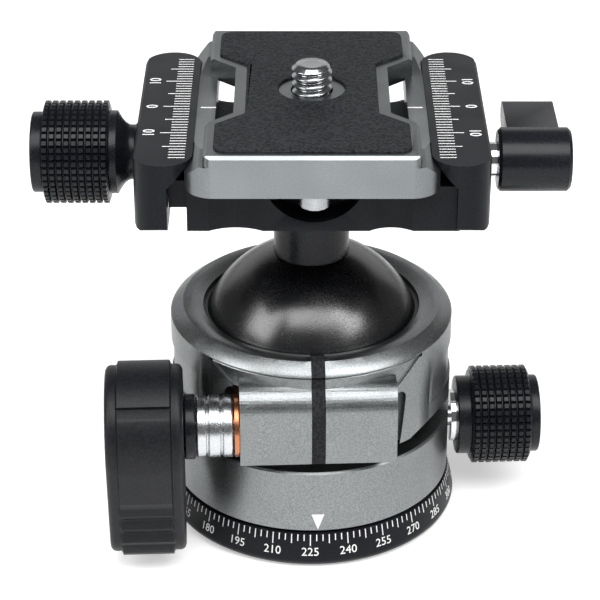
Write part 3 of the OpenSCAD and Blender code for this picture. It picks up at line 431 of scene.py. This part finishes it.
def mark_length(tree, number, sizes, middle_step, long_step):
    """A mark's length: Short, Middle where its number divides by one step, Long by the other."""
    length = sizes["Short"]
    for step, shorter, longer in ((middle_step, "Short", "Middle"), (long_step, "Middle", "Long")):
        rest = add(tree, "ShaderNodeMath", {0: number, 1: step}, operation="MODULO")
        divides = add(tree, "ShaderNodeMath", {0: rest, 1: 0.5}, operation="LESS_THAN")
        growth = add(tree, "ShaderNodeMath", {0: sizes[longer], 1: sizes[shorter]}, operation="SUBTRACT")
        extra = add(tree, "ShaderNodeMath", {0: divides, 1: growth}, operation="MULTIPLY")
        length = add(tree, "ShaderNodeMath", {0: length, 1: extra}, operation="ADD")
    return length


def ring_tree():
    """Degree marks down a cone: every third is longer, and every sixth the longest."""
    labels = ["Radius", "Height", "Slope", "Width", "Short", "Middle", "Long"]
    tree, sizes = new_tree("degree_marks", labels, ["Count"])
    line = add(tree, "GeometryNodeMeshLine", {"Count": sizes["Count"]})
    index = add(tree, "GeometryNodeInputIndex")
    share = add(tree, "ShaderNodeMath", {0: index, 1: sizes["Count"]}, operation="DIVIDE")
    turn = add(tree, "ShaderNodeMath", {0: share, 1: TAU}, operation="MULTIPLY")
    reach = mark_length(tree, index, sizes, 3.0, 6.0)
    half = add(tree, "ShaderNodeMath", {0: reach, 1: 0.5}, operation="MULTIPLY")
    lean_out = add(tree, "ShaderNodeMath", {0: sizes["Slope"]}, operation="SINE")
    lean_down = add(tree, "ShaderNodeMath", {0: sizes["Slope"]}, operation="COSINE")
    wider = add(tree, "ShaderNodeMath", {0: half, 1: lean_out}, operation="MULTIPLY")
    lower = add(tree, "ShaderNodeMath", {0: half, 1: lean_down}, operation="MULTIPLY")
    out = add(tree, "ShaderNodeMath", {0: sizes["Radius"], 1: wider}, operation="ADD")
    up = add(tree, "ShaderNodeMath", {0: sizes["Height"], 1: lower}, operation="SUBTRACT")
    sine = add(tree, "ShaderNodeMath", {0: turn}, operation="SINE")
    cosine = add(tree, "ShaderNodeMath", {0: turn}, operation="COSINE")
    aside = add(tree, "ShaderNodeMath", {0: sine, 1: out}, operation="MULTIPLY")
    behind = add(tree, "ShaderNodeMath", {0: cosine, 1: out}, operation="MULTIPLY")
    ahead = add(tree, "ShaderNodeMath", {0: behind, 1: -1.0}, operation="MULTIPLY")
    spot = add(tree, "ShaderNodeCombineXYZ", {"X": aside, "Y": ahead, "Z": up})
    placed = add(tree, "GeometryNodeSetPosition", {"Geometry": line, "Position": spot})
    bar = add(tree, "GeometryNodeMeshCube", {"Size": (1.0, 2 * INK, 1.0)})
    tip = add(tree, "ShaderNodeMath", {0: sizes["Slope"], 1: -1.0}, operation="MULTIPLY")
    lean = add(tree, "ShaderNodeCombineXYZ", {"X": tip, "Z": turn})
    scale = add(tree, "ShaderNodeCombineXYZ", {"X": sizes["Width"], "Y": 1.0, "Z": reach})
    stood = add(tree, "GeometryNodeInstanceOnPoints", {
        "Points": placed, "Instance": bar, "Rotation": lean, "Scale": scale,
    })
    close_tree(tree, stood, WHITE)
    return tree


def row_tree():
    """Millimetre marks across a bar that lies along Y: longer at fives, longest at tens."""
    labels = ["Start", "Side", "Height", "Width", "Short", "Middle", "Long"]
    tree, sizes = new_tree("millimetre_marks", labels, ["Half"])
    both = add(tree, "ShaderNodeMath", {0: sizes["Half"], 1: 2.0}, operation="MULTIPLY")
    count = add(tree, "ShaderNodeMath", {0: both, 1: 1.0}, operation="ADD")
    line = add(tree, "GeometryNodeMeshLine", {"Count": count})
    index = add(tree, "GeometryNodeInputIndex")
    step = add(tree, "ShaderNodeMath", {0: index, 1: sizes["Half"]}, operation="SUBTRACT")
    number = add(tree, "ShaderNodeMath", {0: step}, operation="ABSOLUTE")
    reach = mark_length(tree, number, sizes, 5.0, 10.0)
    half = add(tree, "ShaderNodeMath", {0: reach, 1: 0.5}, operation="MULTIPLY")
    across = add(tree, "ShaderNodeMath", {0: sizes["Start"], 1: half}, operation="ADD")
    aside = add(tree, "ShaderNodeMath", {0: across, 1: sizes["Side"]}, operation="MULTIPLY")
    spot = add(tree, "ShaderNodeCombineXYZ", {"X": aside, "Y": step, "Z": sizes["Height"]})
    placed = add(tree, "GeometryNodeSetPosition", {"Geometry": line, "Position": spot})
    bar = add(tree, "GeometryNodeMeshCube", {"Size": (1.0, 1.0, 2 * INK)})
    scale = add(tree, "ShaderNodeCombineXYZ", {"X": reach, "Y": sizes["Width"], "Z": 1.0})
    stood = add(tree, "GeometryNodeInstanceOnPoints", {
        "Points": placed, "Instance": bar, "Scale": scale,
    })
    close_tree(tree, stood, WHITE)
    return tree


FIGURE_HEIGHT = 0.7           # height of the font's figures as a part of its size


def numeral(text, height, bold=0.0):
    """A number as a thin closed mesh, centred, in millimetres on the XY plane."""
    curve = bpy.data.curves.new("numeral", "FONT")
    curve.body = text
    curve.align_x = "CENTER"
    curve.align_y = "CENTER"
    curve.size = height / FIGURE_HEIGHT
    curve.extrude = INK
    curve.offset = bold
    curve.resolution_u = 3
    holder = bpy.data.objects.new("numeral", curve)
    bpy.context.scene.collection.objects.link(holder)
    mesh = plain_mesh(holder)
    bpy.data.objects.remove(holder)
    return mesh


def joined(name, meshes):
    """Several meshes as one."""
    form = bmesh.new()
    for mesh in meshes:
        form.from_mesh(mesh)
        bpy.data.meshes.remove(mesh)
    whole = bpy.data.meshes.new(name)
    form.to_mesh(whole)
    form.free()
    return whole


# ---------------------------------------------------------------- base scale
SCALE_AT_FRONT = 225.4        # degrees read at the front, growing to the right
MARK_STEP = 2.5               # degrees from mark to mark
NUMBER_STEP = 15              # degrees from number to number
MARKS_TOP_Z = 5.95
NUMBERS_Z = 3.0               # middle of the row of numbers
NUMBER_HEIGHT = 1.38
TRIANGLE_TOP_Z = 9.76
TRIANGLE_TIP_Z = 6.9
TRIANGLE_HALF = 1.05          # half of the triangle's width at its top
TRIANGLE_TAPER = 0.97         # how much of that width its tip has lost


def skirt_radius(z):
    """The radius of the base's sloping skirt at a height."""
    (r0, z0), (r1, z1) = SKIRT_HIGH, SKIRT_LOW
    return r0 + (r1 - r0) * (z0 - z) / (z0 - z1)


def base_scale():
    """Degree marks and numbers round the skirt."""
    slope = math.atan2(SKIRT_LOW[0] - SKIRT_HIGH[0], SKIRT_HIGH[1] - SKIRT_LOW[1])
    turn = Matrix.Rotation(math.radians(-SCALE_AT_FRONT), 4, "Z")
    marks = grown(ring_tree(), {
        "Radius": skirt_radius(MARKS_TOP_Z), "Height": MARKS_TOP_Z, "Slope": slope, "Width": 0.17,
        "Short": 1.1, "Middle": 1.55, "Long": 1.9, "Count": int(360 / MARK_STEP),
    }, "base_marks", turn @ UPRIGHT)
    publish("base_scale_marks", marks, WHITE, "base")
    numbers = []
    for value in range(0, 360, NUMBER_STEP):
        mesh = numeral(str(value), NUMBER_HEIGHT)
        angle = math.radians(value - SCALE_AT_FRONT)
        for v in mesh.vertices:
            x, y, lift = v.co
            z = NUMBERS_Z + y * math.cos(slope)
            r = skirt_radius(z) + lift + INK
            a = angle + x / skirt_radius(NUMBERS_Z)
            v.co = (r * math.sin(a) * MM, -r * math.cos(a) * MM, z * MM)
        numbers.append(mesh)
    publish("base_scale_numbers", joined("base_scale_numbers", numbers), WHITE, "base")


def index_triangle():
    """The white mark on the housing that points at the base scale."""
    high, tip, half = TRIANGLE_TOP_Z, TRIANGLE_TIP_Z, TRIANGLE_HALF
    points, faces = [], []
    steps = 6
    for lift in (0.0, INK):
        for row in range(steps + 1):
            t = row / steps
            for side in (-1, 0, 1):
                a = side * half * (1 - t * TRIANGLE_TAPER) / HOUSING_R
                r = HOUSING_R + lift
                points.append((r * math.sin(a), -r * math.cos(a), high + (tip - high) * t))
    layer = 3 * (steps + 1)
    for row in range(steps):
        for k in (0, 1):
            a = row * 3 + k
            quad = (a, a + 1, a + 4, a + 3)
            faces.append(quad)
            faces.append(tuple(i + layer for i in reversed(quad)))
        for k in (0, 2):
            a = row * 3 + k
            faces.append((a, a + 3, a + 3 + layer, a + layer))
    for a in (0, 1, 3 * steps, 3 * steps + 1):
        faces.append((a, a + 1, a + 1 + layer, a + layer))
    mesh = mesh_of("index_triangle", points, faces, BODY_PLACE)
    publish("index_triangle", mesh, WHITE, "housing")


# ---------------------------------------------------------------- jaw scales
JAW_MARKS_X = 19.2            # where the marks start, beside the plate
JAW_NUMBERS_X = 25.0
JAW_NUMBER_HEIGHT = 1.8
JAW_NUMBER_BOLD = 0.02        # how far the outline of these figures is pushed out
LINE_X = 15.05                # inner end, height and length of the lines on the plate's ledges
LINE_Z = PLATE_Z + 3.75
LINE_LENGTH = 2.4


def jaw_scales():
    """Millimetre marks and numbers on both jaws."""
    tree = row_tree()
    for body, side in (("jaw", -1), ("clamp", 1)):
        marks = grown(tree, {
            "Start": JAW_MARKS_X, "Side": float(side), "Height": JAW_TOP_Z, "Width": 0.22,
            "Short": 2.5, "Middle": 3.6, "Long": 4.15, "Half": 19,
        }, body + "_marks", UPRIGHT)
        publish(body + "_scale_marks", marks, WHITE, body)
        numbers = []
        for value, y in (("10", -10), ("0", 0), ("10", 10)):
            mesh = numeral(value, JAW_NUMBER_HEIGHT, JAW_NUMBER_BOLD)
            turn = Matrix.Rotation(math.radians(-90 * side), 4, "Z")
            spot = Vector((side * JAW_NUMBERS_X, y, JAW_TOP_Z)) * MM
            mesh.transform(Matrix.Translation(spot) @ turn @ UPRIGHT)
            numbers.append(mesh)
        publish(body + "_scale_numbers", joined(body + "_numbers", numbers), WHITE, body)


def plate_index_lines():
    """White lines across the plate's ledges at its middle."""
    tree = row_tree()
    for side in (-1, 1):
        mesh = grown(tree, {
            "Start": LINE_X, "Side": float(side), "Height": LINE_Z, "Width": 0.32,
            "Short": LINE_LENGTH, "Middle": LINE_LENGTH, "Long": LINE_LENGTH, "Half": 0,
        }, "plate_line", UPRIGHT)
        publish("plate_index_line_" + ("left" if side < 0 else "right"), mesh, WHITE, "plate")


# ---------------------------------------------------------------- knobs
# Profiles hold (distance along the knob's axis, radius) pairs
PAN_KNOB = (
    (24.4, 1.8), (24.4, 6.6), (26.7, 6.6), (26.7, 7.7),
    (36.6, 7.7), (36.6, 4.7), (34.6, 4.7), (34.6, 1.8), (24.4, 1.8),
)
PAN_CAP = (36.6, 38.2, 6.5)             # seat, face and radius
PAN_KNURL = (26.85, 1.2, 8, 7.65, 0.55)         # start, pitch, columns, radius and height
CLAMP_NECK = (-27.25, -3.45, 4.35)      # start, way along and radius of the knob's waisted neck
CLAMP_LIP = (0.6, 0.2)                  # how much wider the neck starts, and where that ends
CLAMP_FLARE = (2.25, 0.35)              # how much wider it ends, and where that starts
CLAMP_KNOB = (
    (-31.9, 6.6), (-31.9, 7.55), (-42.3, 7.55), (-42.3, 4.5), (-40.2, 4.5), (-40.2, 3.0), (-27.25, 3.0),
)
CLAMP_CAP = (-42.3, -44.2, 6.4)
CLAMP_KNURL = (-42.28, 1.15, 9, 7.45, 0.7)
KNOB_EDGE_R = 0.35
CAP_EDGE_R = 0.3
CAP_DISH = 0.25                         # depth of the dish in a cap's face
CAP_SPIGOT = 1.9                        # length of the spigot behind it


def knurled(name, body, place, knurl):
    """A band of knurls round a knob."""
    start, pitch, columns, radius, height = knurl
    rows = round(TAU * (radius + height) / pitch)
    mesh = grown(knurl_tree(), {
        "Start": start, "Pitch": pitch, "Radius": radius, "Height": height,
        "Columns": columns, "Rows": rows,
    }, name, place)
    publish(name, mesh, KNOB_BLACK, body)


def pan_knob():
    """The small knob that locks the panning base."""
    place = joint_place("pan_knob_turn")
    mesh = mesh_of("pan_knob_body", *lathe(softened(PAN_KNOB, KNOB_EDGE_R)), place)
    publish("pan_knob_body", mesh, KNOB_BLACK, "pan_knob", ("pan_knob",))
    knurled("pan_knob_knurl", "pan_knob", place, PAN_KNURL)


def clamp_knob():
    """The knob that closes the clamp, on its waisted neck."""
    place = joint_place("clamp_knob_turn")
    start, way, radius = CLAMP_NECK
    lip, lip_end = CLAMP_LIP
    flare, flare_start = CLAMP_FLARE
    steps = 14
    neck = []
    for k in range(steps + 1):
        t = k / steps
        wider = flare * max(0.0, (t - flare_start) / (1 - flare_start)) ** 2
        wider += lip * max(0.0, 1 - t / lip_end)
        neck.append((start + way * t, radius + wider))
    rest = softened([neck[-1], *CLAMP_KNOB], KNOB_EDGE_R)
    profile = neck + rest[1:] + [neck[0]]
    mesh = mesh_of("clamp_knob_body", *lathe(profile), place)
    publish("clamp_knob_body", mesh, KNOB_BLACK, "clamp_knob", ("clamp_knob",))
    knurled("clamp_knob_knurl", "clamp_knob", place, CLAMP_KNURL)


def cap(name, node, body, joint, sizes):
    """An end cap with a shallow dish turned into its face."""
    place = joint_place(joint)
    end, tip, radius = sizes
    way = 1 if tip > end else -1
    back, dish = end - way * CAP_SPIGOT, tip - way * CAP_DISH
    profile = softened([
        (back, 0.0), (back, radius * 0.7), (end, radius * 0.7), (end, radius),
        (tip, radius), (tip, radius - 1.0), (dish, radius - 1.3), (dish, 0.0),
    ], CAP_EDGE_R)
    mesh = mesh_of(name, *lathe(profile), place)
    publish(name, mesh, KNOB_BLACK, body, (node,))


# ---------------------------------------------------------------- main grip
GRIP_IN, GRIP_OUT = -21.25, -33.45
GRIP_TOP_R, GRIP_LOBE_R, GRIP_DROP = 10.7, 6.5, 16.4
GRIP_VALLEYS = ((15.2, 0.4), (12.4, 0.75), (9.4, 0.75), (6.4, 0.75))     # height and depth of each groove
GRIP_VALLEY_HALF = 1.45
GRIP_STEP = (32.0, 33.5, 0.6)           # where the upper step starts and ends, and its depth
GRIP_BAND_HALF = 4.25                   # half of the raised band along the axis
GRIP_BAND_RISE = 0.65
GRIP_BAND_STEEP = 20                    # how abruptly the band rises from the flanks
GRIP_WRAP = 1.6                         # how soon the grooves run out over the top and the lobe
GRIP_SEAM = (0.12, 0.35, 0.12)          # offset, half width and depth of the seam beside the band
GRIP_EDGE_R = 1.0
GRIP_AROUND, GRIP_ALONG = 480, 56       # points round the outline and steps along the axis
SLEEVE = (-13.4, -19.35, 2.03, 4.95)    # start, end, bore radius and radius
SLEEVE_GROOVES = (0.31, 0.69)           # where its two grooves are, as parts of its length
SLEEVE_CUT = 0.3                        # depth of its grooves and of its chamfers
SLEEVE_GROOVE = (0.28, 0.12)            # half the width of a groove at its top and at its bottom


def grip_outline(count):
    """Points round the teardrop with their outward normals: a round top, a lobe and two tangents."""
    lean = math.asin((GRIP_TOP_R - GRIP_LOBE_R) / GRIP_DROP)
    top_arc = TAU / 2 + 2 * lean
    lobe_arc = TAU / 2 - 2 * lean
    side = math.sqrt(GRIP_DROP ** 2 - (GRIP_TOP_R - GRIP_LOBE_R) ** 2)
    lengths = [top_arc * GRIP_TOP_R, side, lobe_arc * GRIP_LOBE_R, side]
    total = sum(lengths)
    for k in range(count):
        s = total * k / count
        if s < lengths[0]:
            a = -lean + s / GRIP_TOP_R
            n = Vector((math.cos(a), math.sin(a)))
            yield n * GRIP_TOP_R, n
            continue
        s -= lengths[0]
        if s < lengths[1]:
            n = Vector((-math.cos(lean), -math.sin(lean)))
            start = n * GRIP_TOP_R
            yield start + Vector((math.sin(lean), -math.cos(lean))) * s, n
            continue
        s -= lengths[1]
        if s < lengths[2]:
            a = math.pi + lean + s / GRIP_LOBE_R
            n = Vector((math.cos(a), math.sin(a)))
            yield n * GRIP_LOBE_R + Vector((0, -GRIP_DROP)), n
            continue
        s -= lengths[2]
        n = Vector((math.cos(lean), -math.sin(lean)))
        start = n * GRIP_LOBE_R + Vector((0, -GRIP_DROP))
        yield start + Vector((math.sin(lean), math.cos(lean))) * s, n


def ridge(value, middle, half):
    """1 at the middle, falling smoothly to 0 at half away."""
    t = abs(value - middle) / half
    return 0.0 if t >= 1 else 0.5 + 0.5 * math.cos(math.pi * t)


def grip_cut(z):
    """How deep the grooves across the grip's band are at a height."""
    low, high, deep = GRIP_STEP
    step = deep * (z - low) / (high - low) if low < z < high else 0.0
    return max([step] + [d * (1 - abs(z - v) / GRIP_VALLEY_HALF) for v, d in GRIP_VALLEYS])


def lock_grip():
    """The teardrop grip of the main lock: a band with grooves between two lower, rounded flanks."""
    place = joint_place("lock_knob_turn")
    axis_z = place.translation.z / MM
    thick = GRIP_IN - GRIP_OUT
    middle = (GRIP_IN + GRIP_OUT) / 2
    stations = [GRIP_OUT + thick * 0.5 * (1 - math.cos(math.pi * k / GRIP_ALONG))
                for k in range(GRIP_ALONG + 1)]
    count, round_r = GRIP_AROUND, GRIP_EDGE_R
    seam_off, seam_half, seam_deep = GRIP_SEAM
    outline = list(grip_outline(count))
    points, faces = [], []
    for x in stations:
        edge = min(x - GRIP_OUT, GRIP_IN - x)
        inset = 0.0
        if edge < round_r:
            inset = round_r - math.sqrt(max(0.0, round_r ** 2 - (round_r - edge) ** 2))
        away = abs(x - middle)
        on_band = 1 / (1 + math.exp((away - GRIP_BAND_HALF) * GRIP_BAND_STEEP))
        seam = ridge(away, GRIP_BAND_HALF + seam_off, seam_half)
        for spot, normal in outline:
            z = spot.y + axis_z
            out = -inset - GRIP_BAND_RISE + GRIP_BAND_RISE * on_band - seam_deep * seam
            if on_band > 0.05:
                out -= on_band * min(1.0, abs(normal.x) * GRIP_WRAP) * grip_cut(z)
            p = spot + normal * out
            points.append((x, p.x, p.y))
    for row in range(len(stations) - 1):
        for k in range(count):
            a, b = row * count + k, row * count + (k + 1) % count
            faces.append((a, b, b + count, a + count))
    # Both end faces close in rings that shrink towards the teardrop's middle
    centre_z = -GRIP_DROP * 0.36
    for row, x in ((0, GRIP_OUT), (len(stations) - 1, GRIP_IN)):
        rim = [row * count + k for k in range(count)]
        previous = rim
        for shrink in (0.75, 0.5, 0.25):
            ring = []
            for k in range(count):
                _, y, z = points[rim[k]]
                ring.append(len(points))
                points.append((x, y * shrink, centre_z + (z - centre_z) * shrink))
            for k in range(count):
                faces.append((previous[k], previous[(k + 1) % count], ring[(k + 1) % count], ring[k]))
            previous = ring
        faces.append(tuple(previous))
    mesh = mesh_of("lock_grip_rubber", points, faces, place, angle=40)
    publish("lock_grip_rubber", mesh, GRIP_RUBBER, "lock_knob", ("lock_grip",))


def lock_sleeve():
    """The chromed sleeve between housing and hub, with two grooves."""
    place = joint_place("lock_knob_turn")
    x0, x1, bore, r = SLEEVE
    low = r - SLEEVE_CUT
    wide, narrow = SLEEVE_GROOVE
    profile = [(x0, bore), (x0, low), (x0 - SLEEVE_CUT, r)]
    for share in SLEEVE_GROOVES:
        x = x0 + (x1 - x0) * share
        profile += [(x + wide, r), (x + narrow, low), (x - narrow, low), (x - wide, r)]
    profile += [(x1 + SLEEVE_CUT, r), (x1, low), (x1, bore), (x0, bore)]
    mesh = mesh_of("lock_sleeve_chrome", *lathe(softened(profile, 0.12, 3)), place)
    publish("lock_sleeve_chrome", mesh, SLEEVE_CHROME, "lock_knob", ("lock_sleeve",))


# ---------------------------------------------------------------- ball and camera screw
SOCKET_R, SOCKET_DEPTH = 4.02, 8        # the stem's socket in the ball
THREAD_PITCH = 1.27                     # a 1/4 inch camera thread, 20 turns to the inch
THREAD_R = 3.175
THREAD_DEPTH = 0.62
THREAD_FLAT = 0.12                      # flat part of the pitch, at the crest and again at the root
THREAD_LOW_Z = PLATE_Z + 5.4
THREAD_TOP_Z = PLATE_TOP_Z + 4.4
THREAD_RISE = 0.06                      # height of one row of the thread's faces
POINT_CUT = (0.75, 1.1)                 # how far the point's chamfer goes in, and its slope
RUN_OUT = (2.3, 2)                      # radius and slope where the thread runs out at the head
DISH = (0.55, 0.08)                     # the point's dish: part of its radius, and depth
SCREW_HEAD = (                          # height and radius
    (PLATE_Z + 0.6, 0.0), (PLATE_Z + 0.6, 7.6), (PLATE_Z + 2.8, 7.6), (PLATE_Z + 2.8, 2.4),
    (THREAD_LOW_Z + 0.02, 2.4), (THREAD_LOW_Z + 0.02, 0.0),
)


def ball_surface():
    """The ball turned finely, open at its flat for the stem's socket."""
    flat = math.acos(math.sqrt(BALL_R ** 2 - NECK_R ** 2) / BALL_R)
    profile = [(BALL_Z - BALL_R * math.cos(a), BALL_R * math.sin(a))
               for a in [(math.pi - flat) * k / 90 for k in range(91)]]
    top = profile[-1][0]
    profile += [(top, SOCKET_R), (top - SOCKET_DEPTH, SOCKET_R), (top - SOCKET_DEPTH, 0.0)]
    form = lathe(profile, around_x=False, segments=192)
    mesh = mesh_of("ball_surface", *form, BODY_PLACE)
    publish("ball_surface", mesh, BALL_BLACK, "ball", ("ball",))


def screw_thread():
    """The camera screw: a helical thread with a chamfered, dished point, and a round, flat head."""
    pitch, r, low, high = THREAD_PITCH, THREAD_R, THREAD_LOW_Z, THREAD_TOP_Z
    segments = 96
    rows = int((high - low) / THREAD_RISE)
    points, faces = [], []
    for row in range(rows + 1):
        z = low + (high - low) * row / rows
        limit = min(r, r - POINT_CUT[0] + (high - z) * POINT_CUT[1], RUN_OUT[0] + (z - low) * RUN_OUT[1])
        for k in range(segments):
            turn = TAU * k / segments
            phase = ((z - low) / pitch - k / segments) % 1
            fall = (abs(phase - 0.5) * 2 - THREAD_FLAT) / (1 - 2 * THREAD_FLAT)
            crest = 1 - min(1.0, max(0.0, fall))
            radius = min(limit, r - THREAD_DEPTH * (1 - crest))
            points.append((radius * math.cos(turn), radius * math.sin(turn), z))
    for row in range(rows):
        for k in range(segments):
            a, b = row * segments + k, row * segments + (k + 1) % segments
            faces.append((a, b, b + segments, a + segments))
    faces.append(tuple(range(segments)))
    top = [rows * segments + k for k in range(segments)]
    dish = []
    for k in range(segments):
        x, y, z = points[top[k]]
        dish.append(len(points))
        points.append((x * DISH[0], y * DISH[0], z - DISH[1]))
    for k in range(segments):
        n = (k + 1) % segments
        faces.append((top[k], top[n], dish[n], dish[k]))
    faces.append(tuple(dish))
    thread = mesh_of("camera_screw_thread", points, faces, UPRIGHT, angle=60)
    form = lathe(softened(SCREW_HEAD, 0.25), around_x=False, segments=segments)
    head = mesh_of("camera_screw_head", *form, UPRIGHT)
    screw = joined("camera_screw_turned", [thread, head])
    publish("camera_screw_turned", screw, SCREW_CHROME, "camera_screw", ("camera_screw",))


# ---------------------------------------------------------------- pieces that keep their CAD form
ROUNDED = (                   # node, edge radius, material and body
    ("pan_base", 0.25, BLACK, "base"),
    ("housing", 0.22, TITANIUM, "housing"),
    ("split_strip", 0.1, STRIP_RUBBER, "housing"),
    ("lock_washer", 0.15, COPPER, "housing"),
    ("lock_hub", 0.3, KNOB_BLACK, "lock_knob"),
    ("stem", 0.15, KNOB_BLACK, "ball"),
    ("clamp_base", 0.4, BLACK, "clamp"),
    ("moving_jaw", 0.5, BLACK, "jaw"),
    ("pan_lever", 0.3, KNOB_BLACK, "lever"),
    ("quick_plate", 0.4, PLATE_GREY, "plate"),
    ("plate_pad", 0.3, PAD_RUBBER, "plate"),
    ("safety_pins", 0.3, STEEL, "plate"),
)
PLAIN = {                     # pieces inside, or of which too little shows for an edge radius
    "tripod_bushing": STEEL, "pan_washer": PALE_ACETAL, "pan_retainer": STEEL, "retainer_screws": STEEL,
    "seat_carrier": BLACK, "ball_liner": LINER, "lock_nut": STEEL, "pan_shoe": BRASS,
    "lock_screw": STEEL, "pan_screw": CHROME, "ball_seat": PALE_ACETAL, "stem_retainer": STEEL,
    "stem_screw": STEEL, "lever_pad": BRASS, "guide_pins": STEEL, "clamp_screw": STEEL,
    "screw_clip": STEEL, "lever_screw": CHROME,
}

for node, width, material, body in ROUNDED:
    rounded(node, node + "_finished", width, material, body)
for node, material in PLAIN.items():
    mesh = frame["nodes"][node].data
    mesh.materials.clear()
    mesh.materials.append(material)

base_scale()
index_triangle()
jaw_scales()
plate_index_lines()
pan_knob()
clamp_knob()
cap("pan_knob_end", "pan_knob_cap", "pan_knob", "pan_knob_turn", PAN_CAP)
cap("clamp_knob_end", "clamp_knob_cap", "clamp_knob", "clamp_knob_turn", CLAMP_CAP)
lock_grip()
lock_sleeve()
ball_surface()
screw_thread()


# ---------------------------------------------------------------- floor, light and camera
FLOOR_HALF = 3.0              # metres from the middle to each edge
FLOOR_WHITE = (0.8, 0.8, 0.8, 1)        # linear, a little darker than paper so that light doesn't clip it
FLOOR_GLOW = 0.45             # glow of the floor near the object, where it is seen or mirrored
GLOW_SPREAD = (0.2, 0.7)      # metres from the object over which the seen glow grows to white
MIRROR_REACH = 0.12           # metres aside over which the mirrored glow fades
WORLD_LIGHT = 0.15            # what the white surroundings add as light
LAMP_AIM = Vector((0, 0, 0.04))
SOFTBOXES = (                 # name, place, width, height and power
    ("top_softbox", (0.0, -0.25, 0.53), 0.5, 0.36, 3.0),
    ("back_softbox", (0.0, 0.6, 0.22), 1.2, 0.36, 0.9),
    ("left_softbox", (-0.45, -0.22, 0.4), 0.3, 0.36, 2.0),
    ("right_softbox", (0.36, -0.26, 0.46), 0.24, 0.3, 1.9),
)
CAMERA_TARGET = (-1.85, 0, 36.57)
CAMERA_DISTANCE = 381.5
CAMERA_DROP = 28.57           # degrees that the camera looks down
CAMERA_CLIP = 10              # nothing nearer to the camera is drawn
SENSOR = 36
FOCAL_PIXELS = 2320           # focal length in pixels of a picture PICTURE_PIXELS wide
PICTURE_PIXELS = 600


def floor():
    """A white floor that keeps the shadow, and fades to the white of the surroundings far off."""
    h = FLOOR_HALF
    mesh = bpy.data.meshes.new("floor")
    mesh.from_pydata([(-h, -h, 0), (h, -h, 0), (h, h, 0), (-h, h, 0)], [], [(0, 1, 2, 3)])
    material, tree, shader, place = surface("white_studio_floor", "FFFFFF", 0.0, 1.0)
    path = add(tree, "ShaderNodeLightPath")
    away = add(tree, "ShaderNodeVectorMath", {0: place}, operation="LENGTH").outputs["Value"]
    growing = add(tree, "ShaderNodeMapRange", {
        "Value": away, "From Min": GLOW_SPREAD[0], "From Max": GLOW_SPREAD[1],
        "To Min": FLOOR_GLOW, "To Max": 1.0,
    })
    seen = add(tree, "ShaderNodeMath", {
        0: path.outputs["Is Camera Ray"], 1: growing,
    }, operation="MULTIPLY")
    parts = add(tree, "ShaderNodeSeparateXYZ", {"Vector": place})
    aside = add(tree, "ShaderNodeMath", {0: parts.outputs["X"]}, operation="ABSOLUTE")
    fading = add(tree, "ShaderNodeMapRange", {
        "Value": aside, "From Min": 0.0, "From Max": MIRROR_REACH, "To Min": FLOOR_GLOW, "To Max": 0.0,
    })
    mirrored = add(tree, "ShaderNodeMath", {
        0: path.outputs["Is Glossy Ray"], 1: fading,
    }, operation="MULTIPLY")
    glow = add(tree, "ShaderNodeMath", {0: seen, 1: mirrored}, operation="MAXIMUM")
    fill(tree, shader, {
        "Base Color": FLOOR_WHITE, "Specular IOR Level": 0.0,
        "Emission Color": (1, 1, 1, 1), "Emission Strength": glow,
    })
    mesh.materials.append(material)
    piece = bpy.data.objects.new("floor", mesh)
    bpy.context.scene.collection.objects.link(piece)


def world():
    """Surroundings that the camera sees as white and that add only a little light."""
    sky = bpy.data.worlds.new("studio")
    sky.use_nodes = True
    tree = sky.node_tree
    tree.nodes.clear()
    path = add(tree, "ShaderNodeLightPath")
    seen = add(tree, "ShaderNodeMath", {
        0: path.outputs["Is Camera Ray"], 1: 1 - WORLD_LIGHT,
    }, operation="MULTIPLY")
    strength = add(tree, "ShaderNodeMath", {0: WORLD_LIGHT, 1: seen}, operation="ADD")
    back = add(tree, "ShaderNodeBackground", {"Color": (1, 1, 1, 1), "Strength": strength})
    add(tree, "ShaderNodeOutputWorld", {"Surface": back})
    bpy.context.scene.world = sky


def softbox(name, spot, width, height, power):
    """A rectangular lamp that points at the object."""
    lamp = bpy.data.lights.new(name, "AREA")
    lamp.shape = "RECTANGLE"
    lamp.size, lamp.size_y = width, height
    lamp.energy = power
    thing = bpy.data.objects.new(name, lamp)
    thing.location = spot
    thing.rotation_euler = (LAMP_AIM - Vector(spot)).to_track_quat("-Z", "Y").to_euler()
    bpy.context.scene.collection.objects.link(thing)


def camera():
    """The camera, ahead of the object and above it."""
    target, distance = Vector(CAMERA_TARGET) * MM, CAMERA_DISTANCE * MM
    drop = math.radians(CAMERA_DROP)
    data = bpy.data.cameras.new("camera")
    data.sensor_width = SENSOR
    data.lens = SENSOR * FOCAL_PIXELS / PICTURE_PIXELS
    data.clip_start = CAMERA_CLIP * MM
    thing = bpy.data.objects.new("camera", data)
    thing.location = target + Vector((0, -math.cos(drop), math.sin(drop))) * distance
    thing.rotation_euler = (math.pi / 2 - drop, 0, 0)
    bpy.context.scene.collection.objects.link(thing)
    bpy.context.scene.camera = thing


floor()
world()
for lamp in SOFTBOXES:
    softbox(*lamp)
camera()
bpy.context.scene.view_settings.view_transform = "Standard"
